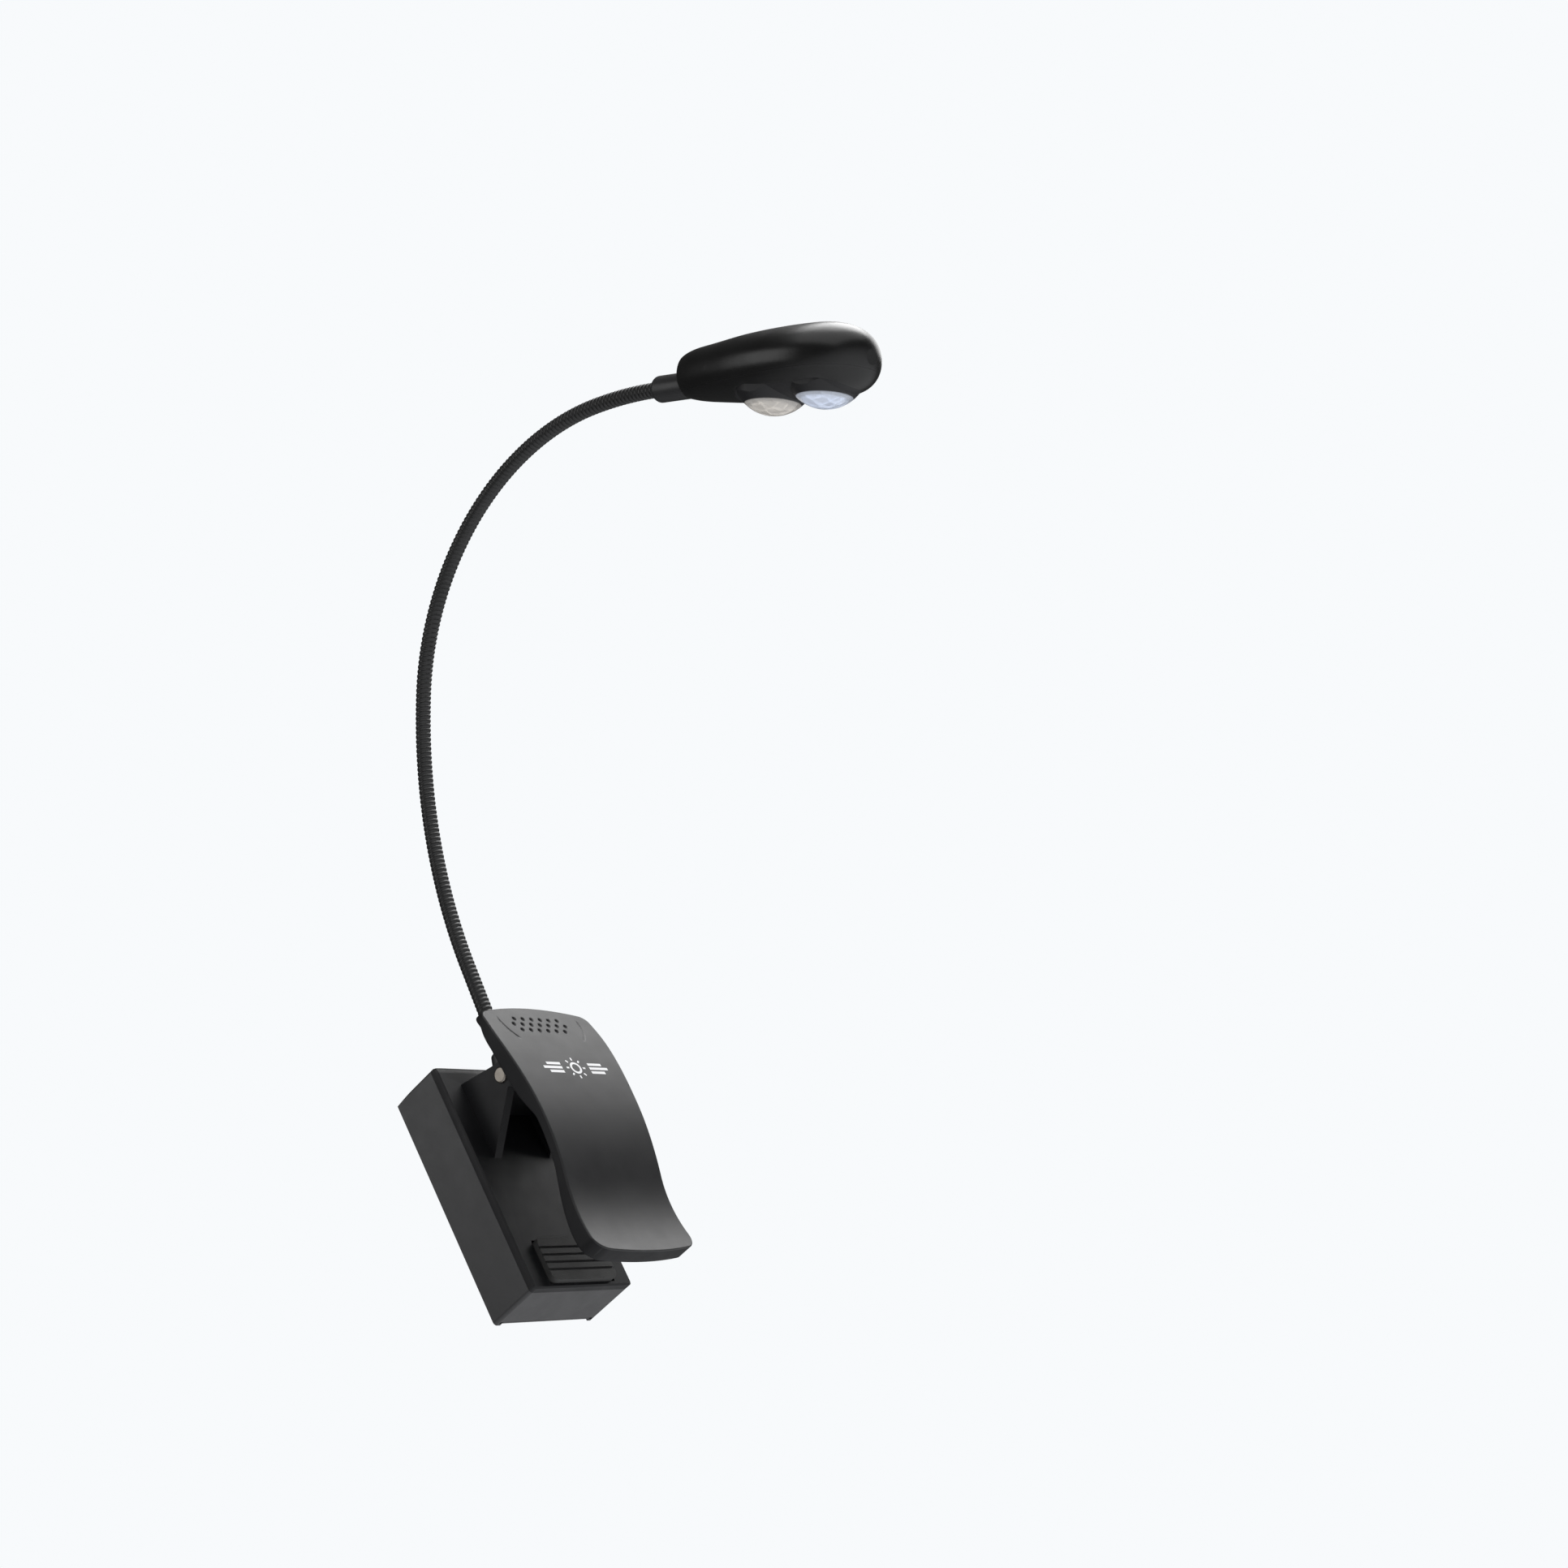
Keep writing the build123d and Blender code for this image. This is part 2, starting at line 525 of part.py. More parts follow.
coil_length = COIL_TURNS * COIL_PITCH
coil = Helix(
    pitch=COIL_PITCH,
    height=coil_length,
    radius=COIL_R,
    center=(-coil_length / 2, PIN_Y, PIN_Z),
    direction=(1, 0, 0),
)
with BuildPart() as coil_body:
    with BuildSketch(Plane(origin=coil @ 0, z_dir=coil % 0)):
        Circle(COIL_WIRE_R)
    sweep(path=coil, is_frenet=True)

with BuildPart() as torsion_spring:
    add(coil_body.part)
    with BuildSketch(Plane(origin=coil @ 0, z_dir=-(coil % 0))):
        Circle(COIL_WIRE_R)
    extrude(amount=REAR_LEG)
    with BuildSketch(Plane(origin=coil @ 1, z_dir=coil % 1)):
        Circle(COIL_WIRE_R)
    extrude(amount=FRONT_LEG)
save(torsion_spring.part, "torsion_spring")

# ---------------------------------------------------------------- gooseneck


def neck_point(distance):
    """Centreline point (Y, Z) and lean from +Z, in degrees, at a distance from the gland's mouth."""
    y, z, angle = NECK_Y, NECK_Z, radians(NECK_LEAN)
    straight = min(distance, NECK_FOOT)
    y -= straight * sin(angle)
    z += straight * cos(angle)
    distance -= straight
    for radius, turn in NECK_ARCS:
        bend = min(max(distance, 0) / radius, radians(turn))
        y -= radius * (cos(angle) - cos(angle + bend))
        z += radius * (sin(angle + bend) - sin(angle))
        angle += bend
        distance -= radius * bend
    past = max(distance, 0)
    return y - past * sin(angle), z + past * cos(angle), degrees(angle)


def neck_plane(distance):
    """Plane across the neck, its normal along the centreline and its local x along +X."""
    y, z, angle = neck_point(distance)
    return Plane(
        origin=(0, y, z), x_dir=(1, 0, 0), z_dir=(0, -sin(radians(angle)), cos(radians(angle)))
    )


NECK_L = NECK_FOOT + sum(radius * radians(turn) for radius, turn in NECK_ARCS)
joint_at = [NECK_L * (number + 0.5) / SPANS for number in range(SPANS)]


def neck_span(start, end, socket, ball):
    """One rigid length of the neck, with an optional socket at its start and ball at its end."""
    stop = end - SHOULDER_BACK if ball else end
    bent = [neck_point(start + (stop - start) * share)[:2] for share in (0, 0.5, 1)]
    with BuildPart() as span:
        with BuildLine(SIDE) as run:
            if neck_point(start)[2] == neck_point(stop)[2]:
                Line(bent[0], bent[2])
            else:
                ThreePointArc(*bent)
        with BuildSketch(Plane(origin=run.line @ 0, z_dir=run.line % 0)):
            Circle(NECK_R)
        sweep(path=run.line)
        if ball:
            with Locations(neck_plane(end)):
                Sphere(BALL_R)
        if socket:
            with Locations(neck_plane(start)):
                Sphere(BALL_R + RUN, mode=Mode.SUBTRACT)
    return span.part


save(neck_span(-IN_GLAND, joint_at[0], socket=False, ball=True), "neck_root_span")
for number in range(1, SPANS):
    span = neck_span(joint_at[number - 1], joint_at[number], socket=True, ball=True)
    save(span, f"neck_span_{number:02d}")
save(neck_span(joint_at[-1], NECK_L + IN_COLLAR, socket=True, ball=False), "neck_tip_span")

with BuildPart() as neck_gland:
    with BuildSketch(gland_plane.offset(-GLAND_L)):
        Circle(GLAND_R)
    with BuildSketch(gland_plane.offset(-GLAND_L + 7)):
        Circle(GLAND_R)
    with BuildSketch(gland_plane):
        Circle(GLAND_TOP_R)
    loft(ruled=True)
    fillet(neck_gland.faces().sort_by(Axis.Z)[-1].edges(), 0.8)
    with BuildSketch(gland_plane.offset(1)):
        Circle(NECK_R + SEAT)
    extrude(amount=-GLAND_L - 5, mode=Mode.SUBTRACT)
save(neck_gland.part, "neck_gland")

with BuildPart() as lead_wires:
    for side in (-1, 1):
        with BuildLine() as lead:
            FilletPolyline(
                (side * LEAD_GAP / 2, NECK_Y + NECK_R + 0.2, LEAD_Z),
                (side * LEAD_GAP / 2, SEAM_Y + 4, LEAD_Z),
                (side * LEAD_GAP, SEAM_Y + 6, LEAD_Z + 3),
                (side * LEAD_GAP, BOARD_Y - BOARD_T / 2, LEAD_Z + 3),
                radius=2,
            )
        with BuildSketch(Plane(origin=lead.line @ 0, z_dir=lead.line % 0)):
            Circle(LEAD_R)
        sweep(path=lead.line)
save(lead_wires.part, "lead_wires")

# ---------------------------------------------------------------- head
collar_plane = neck_plane(NECK_L)
head_plane = neck_plane(NECK_L + COLLAR_L)  # across the head: local x is X, y is h and z is s
head_along = head_plane.z_dir
head_up = head_plane.y_dir
under_plane = Plane(origin=head_plane.origin, x_dir=head_along, z_dir=head_up)  # local x is s, y is X

with BuildPart() as head_collar:
    with BuildSketch(collar_plane):
        Circle(COLLAR_R)
    extrude(amount=COLLAR_L)
    fillet(head_collar.edges().filter_by(GeomType.CIRCLE).sort_by(Axis.Y)[-1], 1.0)
    with BuildSketch(collar_plane):
        Circle(COLLAR_BORE_R)
    extrude(amount=IN_COLLAR + SEAT, mode=Mode.SUBTRACT)
    with BuildSketch(collar_plane):
        Circle(LEAD_HOLE_R)
    extrude(amount=COLLAR_L, mode=Mode.SUBTRACT)
save(head_collar.part, "head_collar")


def head_form(inset):
    """The teardrop form of the head, drawn in by an inset."""
    with BuildPart() as form:
        for station, half_width, top, bottom in HEAD_STATIONS:
            along = min(max(station, inset), HEAD_NOSE - inset)
            with BuildSketch(head_plane.offset(along)):
                with Locations((0, (top + bottom) / 2)):
                    Ellipse(half_width - inset, (top - bottom) / 2 - inset)
        if not inset:
            with BuildSketch(head_plane.offset(HEAD_NOSE)):
                with Locations((0, NOSE_H)):
                    Circle(NOSE_R)
        loft()
    return form.part


outer_form = head_form(0)
inner_form = head_form(SHELL_T)
split_plane = Plane(origin=head_plane.origin + head_up * SPLIT_H, z_dir=head_up)
lens_middle = ((LENS_S0 + LENS_S1) / 2, 0)


def lens_window(clearance):
    """Prism through the underside, the outline of the lens with a clearance all round."""
    with BuildPart() as window:
        with BuildSketch(under_plane):
            with Locations(lens_middle):
                SlotOverall(LENS_S1 - LENS_S0 + 2 * clearance, 2 * (LENS_HALF_W + clearance))
        extrude(amount=-20)
    return window.part


with BuildPart() as head_posts:
    with BuildSketch(under_plane.offset(BOARD_H + LED_BOARD_T)):
        with Locations(*[(along, 0) for along in HEAD_POSTS]):
            Circle(HEAD_POST_R)
    extrude(amount=15)
    add(outer_form, mode=Mode.INTERSECT)

with BuildPart() as head_top_shell:
    add(outer_form)
    add(inner_form, mode=Mode.SUBTRACT)
    add(head_posts.part)
    with BuildSketch(under_plane.offset(BOARD_H + LED_BOARD_T)):
        with Locations(*[(along, 0) for along in HEAD_POSTS]):
            Circle(SCREW_R)
    extrude(amount=4.2, mode=Mode.SUBTRACT)
    with BuildSketch(head_plane.offset(-1)):
        Circle(LEAD_HOLE_R)
    extrude(amount=6, mode=Mode.SUBTRACT)
    split(bisect_by=split_plane.offset(SEAT / 2), keep=Keep.TOP)
save(head_top_shell.part, "head_top_shell")

with BuildPart() as head_bottom_shell:
    add(outer_form)
    add(inner_form, mode=Mode.SUBTRACT)
    add(lens_window(SEAT), mode=Mode.SUBTRACT)
    split(bisect_by=split_plane.offset(-SEAT / 2), keep=Keep.BOTTOM)
save(head_bottom_shell.part, "head_bottom_shell")

with BuildPart() as lens:
    add(outer_form)
    add(outer_form.moved(Location(head_up * LENS_T)), mode=Mode.SUBTRACT)
    split(bisect_by=split_plane.offset(-1), keep=Keep.BOTTOM)
    with Locations(*[under_plane.offset(DOME_TIP + DOME_R).location * Pos(along, 0, 0) for along in DOME_S]):
        Sphere(DOME_R)
    with Locations(*[under_plane.offset(DOME_TIP + DOME_R).location * Pos(along, 0, 0) for along in DOME_S]):
        Sphere(DOME_R - DOME_WALL, mode=Mode.SUBTRACT)
    add(lens_window(0), mode=Mode.INTERSECT)
    split(bisect_by=split_plane.offset(-2), keep=Keep.BOTTOM)
save(lens.part, "lens")

with BuildPart() as led_board:
    with BuildSketch(under_plane.offset(BOARD_H)):
        with Locations(lens_middle):
            RectangleRounded(LENS_S1 - LENS_S0 - 2, LED_BOARD_W, 2)
        with Locations(*[(along, 0) for along in HEAD_POSTS]):
            Circle(SCREW_R, mode=Mode.SUBTRACT)
    extrude(amount=LED_BOARD_T)
save(led_board.part, "led_board")

for number, along in enumerate(DOME_S, start=1):
    with BuildPart() as led:
        with BuildSketch(under_plane.offset(BOARD_H)):
            with Locations((along, 0)):
                Circle(LED_R)
        extrude(amount=-(LED_L - LED_R))
        with Locations(under_plane.offset(BOARD_H - LED_L + LED_R).location * Pos(along, 0, 0)):
            Sphere(LED_R)
    save(led.part, f"led_{number}")
    with BuildPart() as reflector:
        with BuildSketch(under_plane.offset(BOARD_H - 0.3)):
            with Locations((along, 0)):
                Circle(LED_R + 0.9)
        with BuildSketch(under_plane.offset(REFLECTOR_MOUTH_H)):
            with Locations((along, 0)):
                Circle(REFLECTOR_MOUTH_R)
        loft(ruled=True)
        with BuildSketch(under_plane.offset(BOARD_H - 0.3)):
            with Locations((along, 0)):
                Circle(LED_R + 0.2)
        with BuildSketch(under_plane.offset(REFLECTOR_MOUTH_H)):
            with Locations((along, 0)):
                Circle(REFLECTOR_MOUTH_R - 0.7)
        loft(ruled=True, mode=Mode.SUBTRACT)
    save(reflector.part, f"reflector_{number}")

with BuildPart() as head_screws:
    for along in HEAD_POSTS:
        with BuildSketch(under_plane.offset(BOARD_H)):
            with Locations((along, 0)):
                Circle(SCREW_R)
        extrude(amount=LED_BOARD_T + 4)
        with BuildSketch(under_plane.offset(BOARD_H)):
            with Locations((along, 0)):
                Circle(SCREW_HEAD_R)
        extrude(amount=-0.9)
save(head_screws.part, "head_screws")

with BuildPart() as head_leads:
    for side in (-1, 1):
        with BuildSketch(head_plane.offset(IN_COLLAR - COLLAR_L + 0.1)):
            with Locations((side * LEAD_GAP / 2, 0)):
                Circle(LEAD_R)
        extrude(amount=LENS_S0 + 0.9 - (IN_COLLAR - COLLAR_L + 0.1))
save(head_leads.part, "head_leads")
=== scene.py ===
import json
from math import asin, atan2, cos, hypot, pi, radians, sin, sqrt

import bmesh
import bpy
import numpy as np
from mathutils import Matrix, Vector


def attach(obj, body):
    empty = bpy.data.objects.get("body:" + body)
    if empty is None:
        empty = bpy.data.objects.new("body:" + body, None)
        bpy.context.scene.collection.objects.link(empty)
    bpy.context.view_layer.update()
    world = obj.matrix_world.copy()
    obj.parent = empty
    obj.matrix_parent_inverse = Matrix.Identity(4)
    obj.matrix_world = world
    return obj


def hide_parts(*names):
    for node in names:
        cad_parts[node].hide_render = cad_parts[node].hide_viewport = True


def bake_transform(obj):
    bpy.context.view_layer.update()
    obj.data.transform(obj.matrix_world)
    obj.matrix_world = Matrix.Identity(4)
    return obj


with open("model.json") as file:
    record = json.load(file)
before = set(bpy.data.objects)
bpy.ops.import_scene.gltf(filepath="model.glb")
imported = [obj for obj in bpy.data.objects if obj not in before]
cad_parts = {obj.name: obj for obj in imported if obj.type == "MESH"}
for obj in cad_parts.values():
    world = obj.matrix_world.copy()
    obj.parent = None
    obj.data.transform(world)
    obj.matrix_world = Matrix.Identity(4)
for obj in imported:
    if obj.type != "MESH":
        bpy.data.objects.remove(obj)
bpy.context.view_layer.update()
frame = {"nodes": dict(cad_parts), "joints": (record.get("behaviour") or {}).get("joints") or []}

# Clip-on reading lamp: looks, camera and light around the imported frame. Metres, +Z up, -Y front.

MM = 0.001
PIN = Vector(next(j["pos_m"] for j in frame["joints"] if j["name"] == "clip_hinge"))


# ------------------------------------------------------------------ mesh helpers
def make_object(name, verts, faces, material, body=None, replaces=(), smooth=True):
    """A mesh object from points and faces, riding on a body and standing for CAD nodes."""
    mesh = bpy.data.meshes.new(name)
    mesh.from_pydata([tuple(v) for v in verts], [], faces)
    mesh.validate()
    mesh.update()
    return finish_object(name, mesh, material, body, replaces, smooth)


def finish_object(name, mesh, material, body=None, replaces=(), smooth=True):
    """An object of a mesh, with its material, body and CAD nodes."""
    mesh.polygons.foreach_set("use_smooth", [smooth] * len(mesh.polygons))
    obj = bpy.data.objects.new(name, mesh)
    bpy.context.scene.collection.objects.link(obj)
    mesh.materials.append(material)
    if body:
        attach(obj, body)
    if replaces:
        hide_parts(*replaces)
    return obj


def fix_normals(mesh):
    """Merge doubled points and turn every face outwards."""
    work = bmesh.new()
    work.from_mesh(mesh)
    bmesh.ops.remove_doubles(work, verts=work.verts, dist=1e-6)
    bmesh.ops.recalc_face_normals(work, faces=work.faces)
    work.to_mesh(mesh)
    work.free()


def apply_modifiers(obj):
    """Replace the object's mesh by its evaluated one and drop the modifiers."""
    bpy.context.view_layer.update()
    graph = bpy.context.evaluated_depsgraph_get()
    mesh = bpy.data.meshes.new_from_object(obj.evaluated_get(graph))
    obj.modifiers.clear()
    obj.data = mesh


def shade_by_angle(mesh, degrees_limit):
    """Smooth faces, with edges sharper than the limit kept crisp."""
    work = bmesh.new()
    work.from_mesh(mesh)
    for face in work.faces:
        face.smooth = True
    for edge in work.edges:
        edge.smooth = edge.calc_face_angle(0) < radians(degrees_limit)
    work.to_mesh(mesh)
    work.free()


def bridge_loops(loops):
    """Points and faces of a skin over closed loops of equal length."""
    count = len(loops[0])
    verts = [v for loop in loops for v in loop]
    faces = []
    for ring in range(len(loops) - 1):
        for i in range(count):
            a = ring * count + i
            b = ring * count + (i + 1) % count
            faces.append((a, b, b + count, a + count))
    return verts, faces


def placed(place, side, over, away):
    """World matrix that puts an object at a place, with its X, Y and Z along three directions."""
    return Matrix.Translation(place) @ Matrix(
        ((side.x, over.x, away.x, 0), (side.y, over.y, away.y, 0), (side.z, over.z, away.z, 0), (0, 0, 0, 1))
    )


def curve_through(points, x):
    """Catmull-Rom value at x of a curve through (x, y) points."""
    xs = [p[0] for p in points]
    ys = [p[1] for p in points]
    k = int(np.clip(np.searchsorted(xs, x) - 1, 0, len(xs) - 2))
    width = xs[k + 1] - xs[k]
    t = min(max((x - xs[k]) / width, 0.0), 1.0)

    def slope(i):
        if 0 < i < len(xs) - 1:
            return (ys[i + 1] - ys[i - 1]) / (xs[i + 1] - xs[i - 1])
        j = min(max(i, 1), len(xs) - 1)
        return (ys[j] - ys[j - 1]) / (xs[j] - xs[j - 1])

    m0, m1 = slope(k) * width, slope(k + 1) * width
    return (
        (2 * t**3 - 3 * t**2 + 1) * ys[k]
        + (t**3 - 2 * t**2 + t) * m0
        + (-2 * t**3 + 3 * t**2) * ys[k + 1]
        + (t**3 - t**2) * m1
    )


# ------------------------------------------------------------------ materials
MIX_SHARE, MIX_FIRST, MIX_SECOND, MIX_RESULT = 0, 6, 7, 2  # a mix node's sockets when it mixes colours
EDGE_HIGHLIGHT, EDGE_HIGHLIGHT_BAND = 0.35, (0.53, 0.62)  # painted highlight on sharp edges: strength, and the pointiness over which it sets in


def new_material(name, colour, roughness, **sockets):
    """A principled material and its nodes; keyword values go straight to the shader's sockets."""
    material = bpy.data.materials.new(name)
    material.use_nodes = True
    tree = material.node_tree
    shader = tree.nodes["Principled BSDF"]
    shader.inputs["Base Color"].default_value = (*colour, 1)
    shader.inputs["Roughness"].default_value = roughness
    for socket, value in sockets.items():
        shader.inputs[socket.replace("_", " ")].default_value = value
    return material, tree, shader


def node(tree, kind, **inputs):
    """A new node, with keyword values on its sockets."""
    made = tree.nodes.new(kind)
    for socket, value in inputs.items():
        made.inputs[socket.replace("_", " ")].default_value = value
    return made


def noise(tree, scale, detail=4, roughness=0.5, stretch=(1, 1, 1)):
    """Noise over the object's own coordinates, which are metres."""
    place = node(tree, "ShaderNodeTexCoord")
    mapping = node(tree, "ShaderNodeMapping")
    mapping.inputs["Scale"].default_value = stretch
    texture = node(tree, "ShaderNodeTexNoise", Scale=scale, Detail=detail, Roughness=roughness)
    tree.links.new(place.outputs["Object"], mapping.inputs["Vector"])
    tree.links.new(mapping.outputs["Vector"], texture.inputs["Vector"])
    return texture.outputs["Fac"]


def spread(tree, source, low, high, start=0.3, stop=0.7):
    """Map a source from start..stop to low..high."""
    made = node(tree, "ShaderNodeMapRange")
    made.inputs["From Min"].default_value = start
    made.inputs["From Max"].default_value = stop
    made.inputs["To Min"].default_value = low
    made.inputs["To Max"].default_value = high
    tree.links.new(source, made.inputs["Value"])
    return made.outputs["Result"]


def blend_colours(tree, source, dark, light, start=0.3, stop=0.7):
    """A colour that goes from dark to light as the source goes from start to stop."""
    ramp = node(tree, "ShaderNodeValToRGB")
    ramp.color_ramp.elements[0].position = start
    ramp.color_ramp.elements[0].color = (*dark, 1)
    ramp.color_ramp.elements[1].position = stop
    ramp.color_ramp.elements[1].color = (*light, 1)
    tree.links.new(source, ramp.inputs["Fac"])
    return ramp.outputs["Color"]


def add_bump(tree, shader, height, distance, under=None):
    """Bump from a height, over an earlier bump's normal if there is one."""
    bump = node(tree, "ShaderNodeBump", Distance=distance)
    tree.links.new(height, bump.inputs["Height"])
    if under:
        tree.links.new(under, bump.inputs["Normal"])
    tree.links.new(bump.outputs["Normal"], shader.inputs["Normal"])
    return bump.outputs["Normal"]


def mix_colour(tree, share, source, colour):
    """A source that turns into a fixed colour as the share goes from 0 to 1."""
    mix = node(tree, "ShaderNodeMix")
    mix.data_type = "RGBA"
    tree.links.new(share, mix.inputs[MIX_SHARE])
    tree.links.new(source, mix.inputs[MIX_FIRST])
    mix.inputs[MIX_SECOND].default_value = (*colour, 1)
    return mix.outputs[MIX_RESULT]


def painted_edge_highlight(tree, tone, shader, light):
    """Painted highlight: lighten sharp convex edges a little."""
    geometry = node(tree, "ShaderNodeNewGeometry")
    edge = spread(tree, geometry.outputs["Pointiness"], 0, EDGE_HIGHLIGHT, *EDGE_HIGHLIGHT_BAND)
    tree.links.new(mix_colour(tree, edge, tone, light), shader.inputs["Base Color"])


def moulded_plastic(name, dark, light, rough_low, rough_high, grain=2600, grain_depth=2e-5, **sockets):
    """Injection-moulded plastic: fine grain, slow change of tone, a painted highlight on sharp edges, uneven
    sheen.
    """
    material, tree, shader = new_material(name, light, rough_high, **sockets)
    tone = blend_colours(tree, noise(tree, 60, 5), dark, light)
    # Sharp convex edges get a lighter colour: painted highlight.
    painted_edge_highlight(tree, tone, shader, tuple(min(1, c * 1.8 + 0.02) for c in light))
    fine = noise(tree, grain, 3, 0.6)
    tree.links.new(spread(tree, noise(tree, 140, 6, 0.6), rough_low, rough_high), shader.inputs["Roughness"])
    slow = add_bump(tree, shader, noise(tree, 90, 3), 1.5e-5)
    add_bump(tree, shader, fine, grain_depth, slow)
    return material


def brushed_metal(name, colour, roughness):
    """Metal with fine scratches one way and a cloudy tone."""
    material, tree, shader = new_material(name, colour, roughness, Metallic=1.0)
    marks = noise(tree, 900, 4, 0.7, (1, 1, 12))
    dark = tuple(c * 0.75 for c in colour)
    tree.links.new(blend_colours(tree, noise(tree, 300, 4), dark, colour), shader.inputs["Base Color"])
    tree.links.new(spread(tree, marks, roughness * 0.7, roughness * 1.4), shader.inputs["Roughness"])
    add_bump(tree, shader, marks, 6e-6)
    return material


PLATE = moulded_plastic("plate_plastic", (0.011, 0.011, 0.012), (0.016, 0.016, 0.017), 0.38, 0.45, 3200, 1e-5)
# A darker, less glossy copy of the plate plastic for the dimples, the rim, the face behind, the lugs and the
# ledge: painted shade.
PLATE_PAINTED_SHADE = moulded_plastic(
    "plate_painted_shade", (0.006, 0.006, 0.007), (0.010, 0.010, 0.011), 0.5, 0.6, 3200, 1.2e-5,
    Specular_IOR_Level=0.25
)
# A darker, less glossy copy of the clip plastic for the housing's front shell: painted shade.
CLIP_PAINTED_SHADE = moulded_plastic(
    "clip_painted_shade", (0.005, 0.005, 0.006), (0.009, 0.009, 0.010), 0.42, 0.52, 3000, 1.5e-5,
    Specular_IOR_Level=0.25
)
CLIP = moulded_plastic("clip_plastic", (0.014, 0.014, 0.015), (0.021, 0.021, 0.022), 0.34, 0.44, 3000, 1.5e-5)
NECK = moulded_plastic("neck_skin", (0.008, 0.008, 0.008), (0.013, 0.013, 0.013), 0.32, 0.42, 4000, 1e-5)
HEAD = moulded_plastic("head_plastic", (0.004, 0.004, 0.004), (0.006, 0.006, 0.006), 0.28, 0.34, 3000, 8e-7)
PAD = moulded_plastic("pad_rubber", (0.012, 0.012, 0.012), (0.022, 0.022, 0.021), 0.62, 0.78, 1800, 4e-5)
PIN_METAL = brushed_metal("pin_steel", (0.36, 0.33, 0.29), 0.34)
SPRING = brushed_metal("spring_steel", (0.42, 0.42, 0.44), 0.3)
SCREW = brushed_metal("screw_steel", (0.34, 0.34, 0.36), 0.32)
CONTACT = brushed_metal("contact_metal", (0.70, 0.67, 0.60), 0.25)
BOARD = moulded_plastic("board_green", (0.012, 0.075, 0.03), (0.02, 0.11, 0.045), 0.28, 0.4)
CELL = moulded_plastic("cell_sleeve", (0.05, 0.07, 0.11), (0.08, 0.11, 0.16), 0.25, 0.35)
LEAD = moulded_plastic("lead_sleeve", (0.16, 0.012, 0.01), (0.24, 0.02, 0.016), 0.4, 0.5)
KNOB = moulded_plastic("switch_grey", (0.16, 0.16, 0.165), (0.22, 0.22, 0.225), 0.4, 0.5)
PRINT = moulded_plastic("print_ink", (0.72, 0.72, 0.73), (0.82, 0.82, 0.83), 0.45, 0.55)


def clear_plastic(name, tint, roughness):
    """Clear resin with a slightly uneven surface."""
    material, tree, shader = new_material(name, tint, roughness, Transmission_Weight=1.0, IOR=1.49)
    tree.links.new(spread(tree, noise(tree, 400, 4), roughness, roughness * 2.2), shader.inputs["Roughness"])
    add_bump(tree, shader, noise(tree, 180, 2), 4e-6)
    return material


def chrome(name, colour):
    """Bright plating with a faint haze."""
    material, tree, shader = new_material(name, colour, 0.1, Metallic=1.0)
    tree.links.new(spread(tree, noise(tree, 700, 3), 0.06, 0.16), shader.inputs["Roughness"])
    add_bump(tree, shader, noise(tree, 500, 2), 1e-5)
    return material


def along_axis(tree, origin, direction, start, stop):
    """0 to 1 over a stretch of an axis, from the object's own coordinates."""
    place = node(tree, "ShaderNodeTexCoord")
    shift = node(tree, "ShaderNodeVectorMath")
    shift.operation = "SUBTRACT"
    shift.inputs[1].default_value = origin
    dot = node(tree, "ShaderNodeVectorMath")
    dot.operation = "DOT_PRODUCT"
    dot.inputs[1].default_value = direction
    tree.links.new(place.outputs["Object"], shift.inputs[0])
    tree.links.new(shift.outputs[0], dot.inputs[0])
    return spread(tree, dot.outputs["Value"], 0, 1, start, stop)


def lens_plastic(origin, head_along, head_up):
    """Clear faceted domes in a smoked surround, with painted reflections, warm over the first LED and cool
    over the second, and a faint painted glow.
    """
    # Emission in the lens's own colour makes it glow faintly although the lamp is off: painted light.
    material, tree, shader = new_material(
        "lens_clear", (0.9, 0.9, 0.9), 0.1, IOR=1.49, Emission_Strength=0.17
    )
    second_dome = along_axis(tree, origin, head_along, 43 * MM, 45 * MM)
    # Warm tint over the first dome and cool tint over the second: painted reflections.
    tint = blend_colours(tree, second_dome, (0.74, 0.71, 0.67), (0.80, 0.86, 0.98), 0, 1)
    surround = along_axis(tree, origin, head_up, -9.9 * MM, -9.5 * MM)
    tree.links.new(spread(tree, surround, 0.6, 0, 0, 1), shader.inputs["Transmission Weight"])
    tone = mix_colour(tree, surround, tint, (0.006, 0.006, 0.007))
    tree.links.new(tone, shader.inputs["Base Color"])
    tree.links.new(tone, shader.inputs["Emission Color"])
    facets = node(tree, "ShaderNodeTexVoronoi", Scale=330.0)
    place = node(tree, "ShaderNodeTexCoord")
    tree.links.new(place.outputs["Object"], facets.inputs["Vector"])
    tree.links.new(spread(tree, surround, 0.09, 0.5, 0, 1), shader.inputs["Roughness"])
    bump = node(tree, "ShaderNodeBump", Distance=8e-4)
    tree.links.new(spread(tree, surround, 0.8, 0.01, 0, 1), bump.inputs["Strength"])
    tree.links.new(facets.outputs["Distance"], bump.inputs["Height"])
    tree.links.new(bump.outputs["Normal"], shader.inputs["Normal"])
    return material


LED = clear_plastic("led_clear", (0.98, 0.97, 0.86), 0.05)
MIRROR = chrome("reflector_chrome", (0.88, 0.9, 0.93))

